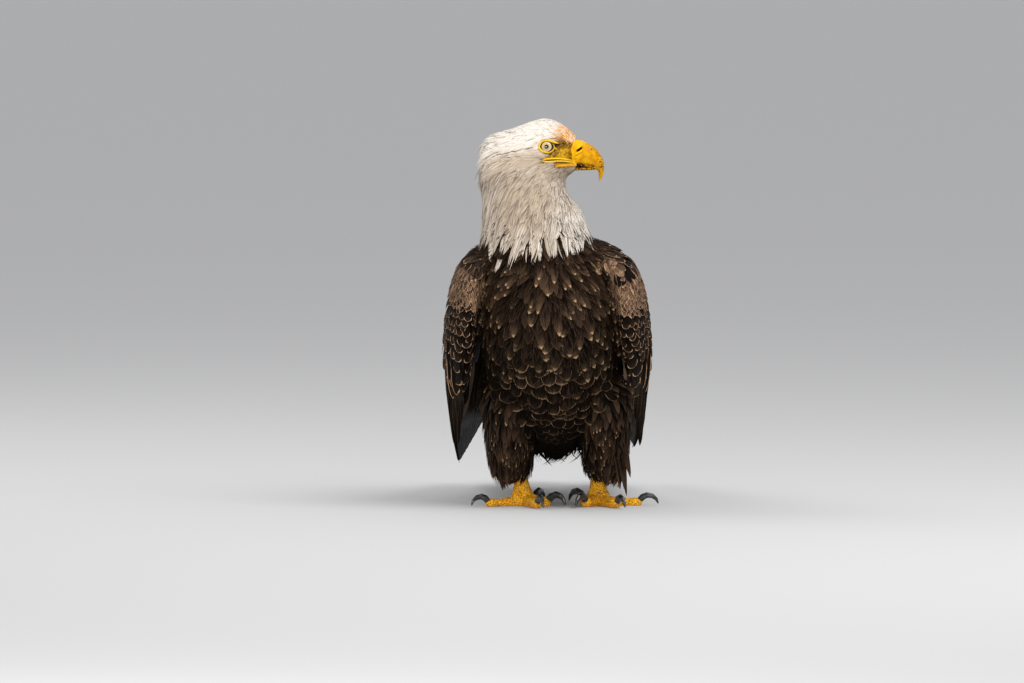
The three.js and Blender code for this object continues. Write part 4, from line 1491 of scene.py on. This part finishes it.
# ---- Feet -------------------------------------------------------------------------------
# Bare yellow shanks and toes, covered with small horny scales that widen to plates on
# the toes, with curved black claws.
PLATE_GAP = 4.2
PLATE_HEIGHT = 0.5
foot_finish = Finish("scaled_foot", "foot_scales", Roughness=0.5, Specular_IOR_Level=0.25)
cells = foot_finish.node(
    "ShaderNodeTexVoronoi", {"feature": "DISTANCE_TO_EDGE"},
    {"Vector": foot_finish.position(), "Scale": 270.0},
)
grain = foot_finish.noise(90, foot_finish.position(), detail=4)
fine = foot_finish.noise(500, foot_finish.position(), detail=3)
seams = (1 - cells.ramp(0.03, 0.16)) * fine.ramp(0.35, 0.55)
foot_yellow = foot_finish.mix(grain.ramp(0.3, 0.7), (0.80, 0.31, 0.003), (0.98, 0.49, 0.008))
foot_finish.colour(foot_finish.mix(seams * 0.9, foot_yellow, (0.13, 0.06, 0.018)))
foot_finish.bump(cells.ramp(0.0, 0.3), 0.8 * MM)

claw_finish = Finish("black_claw", "claw_horn", Roughness=0.3, Coat_Weight=0.25)
grain = claw_finish.noise(180, claw_finish.position(), detail=4)
claw_finish.colour(
    claw_finish.mix(grain.ramp(0.4, 0.75), (0.006, 0.006, 0.007), (0.05, 0.045, 0.04))
)
claw_finish.bump(grain, 0.3 * MM)

TOES = ("hind", "inner", "middle", "outer")
for side in ("right", "left"):
    nodes = [f"shank_{side}"] + [f"toe_{side}_{toe}" for toe in TOES]
    foot = smooth_twin("foot_" + side, nodes, 1.0, 6)
    points = points_of(foot)
    raised = np.zeros(len(points))
    for toe in TOES:
        corners = np.array([tuple(v.co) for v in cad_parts[f"toe_{side}_{toe}"].data.vertices])
        middle = corners.mean(0)
        axis = np.linalg.svd(corners - middle)[2][0] * (1, 1, 0)
        axis /= np.linalg.norm(axis)
        step = np.array((-axis[1], axis[0], 0))
        run, aside = ((points - middle) @ direction / MM for direction in (axis, step))
        half = np.abs((corners - middle) @ axis).max() / MM
        on_toe = (1 - ramp(np.abs(run), half - 2, half)) * (1 - ramp(np.abs(aside), 5, 8))
        raised = np.maximum(raised, on_toe * np.abs(np.sin(math.pi * run / PLATE_GAP)) ** 0.5)
    normals = normals_of(foot)
    raised *= ramp(normals[:, 2], 0.2, 0.6) * PLATE_HEIGHT
    move_points(foot, points + normals * (raised * MM)[:, None])
    finished(foot, foot_finish, *nodes)
    for toe in TOES:
        node = f"claw_{side}_{toe}"
        finished(smooth_twin(f"talon_{side}_{toe}", (node,), 0.45, 3), claw_finish, node)

# ---- Floor and light --------------------------------------------------------------------
bpy.ops.mesh.primitive_plane_add(size=120, location=(0, 30, 0))
floor = bpy.context.object
floor.name = "floor"
floor_finish = Finish("pale_floor", Roughness=0.8)
floor_finish.colour((0.60, 0.595, 0.585))
floor.data.materials.append(floor_finish.material)

world = bpy.data.worlds.new("studio")
bpy.context.scene.world = world
world.use_nodes = True
background = world.node_tree.nodes["Background"].inputs
background["Color"].default_value = (0.86, 0.87, 0.90, 1)
background["Strength"].default_value = 0.75
# Lamps: place in m, width and height, power, and the height of what it is aimed at.
for where, wide, high, watts, height in (
    ((1.2, -1.4, 2.6), 1.8, 1.8, 55, 0.3), ((-2.0, 0.6, 2.2), 1.5, 1.5, 20, 0.3),
    ((-0.5, -4.2, 0.25), 1.8, 0.35, 75, 0.1),
):
    bpy.ops.object.light_add(type="AREA", location=where)
    lamp = bpy.context.object
    lamp.data.shape = "RECTANGLE"
    lamp.data.size = wide
    lamp.data.size_y = high
    lamp.data.energy = watts
    target = Vector((0, 0, height))
    lamp.rotation_euler = (target - lamp.location).to_track_quat("-Z", "Y").to_euler()
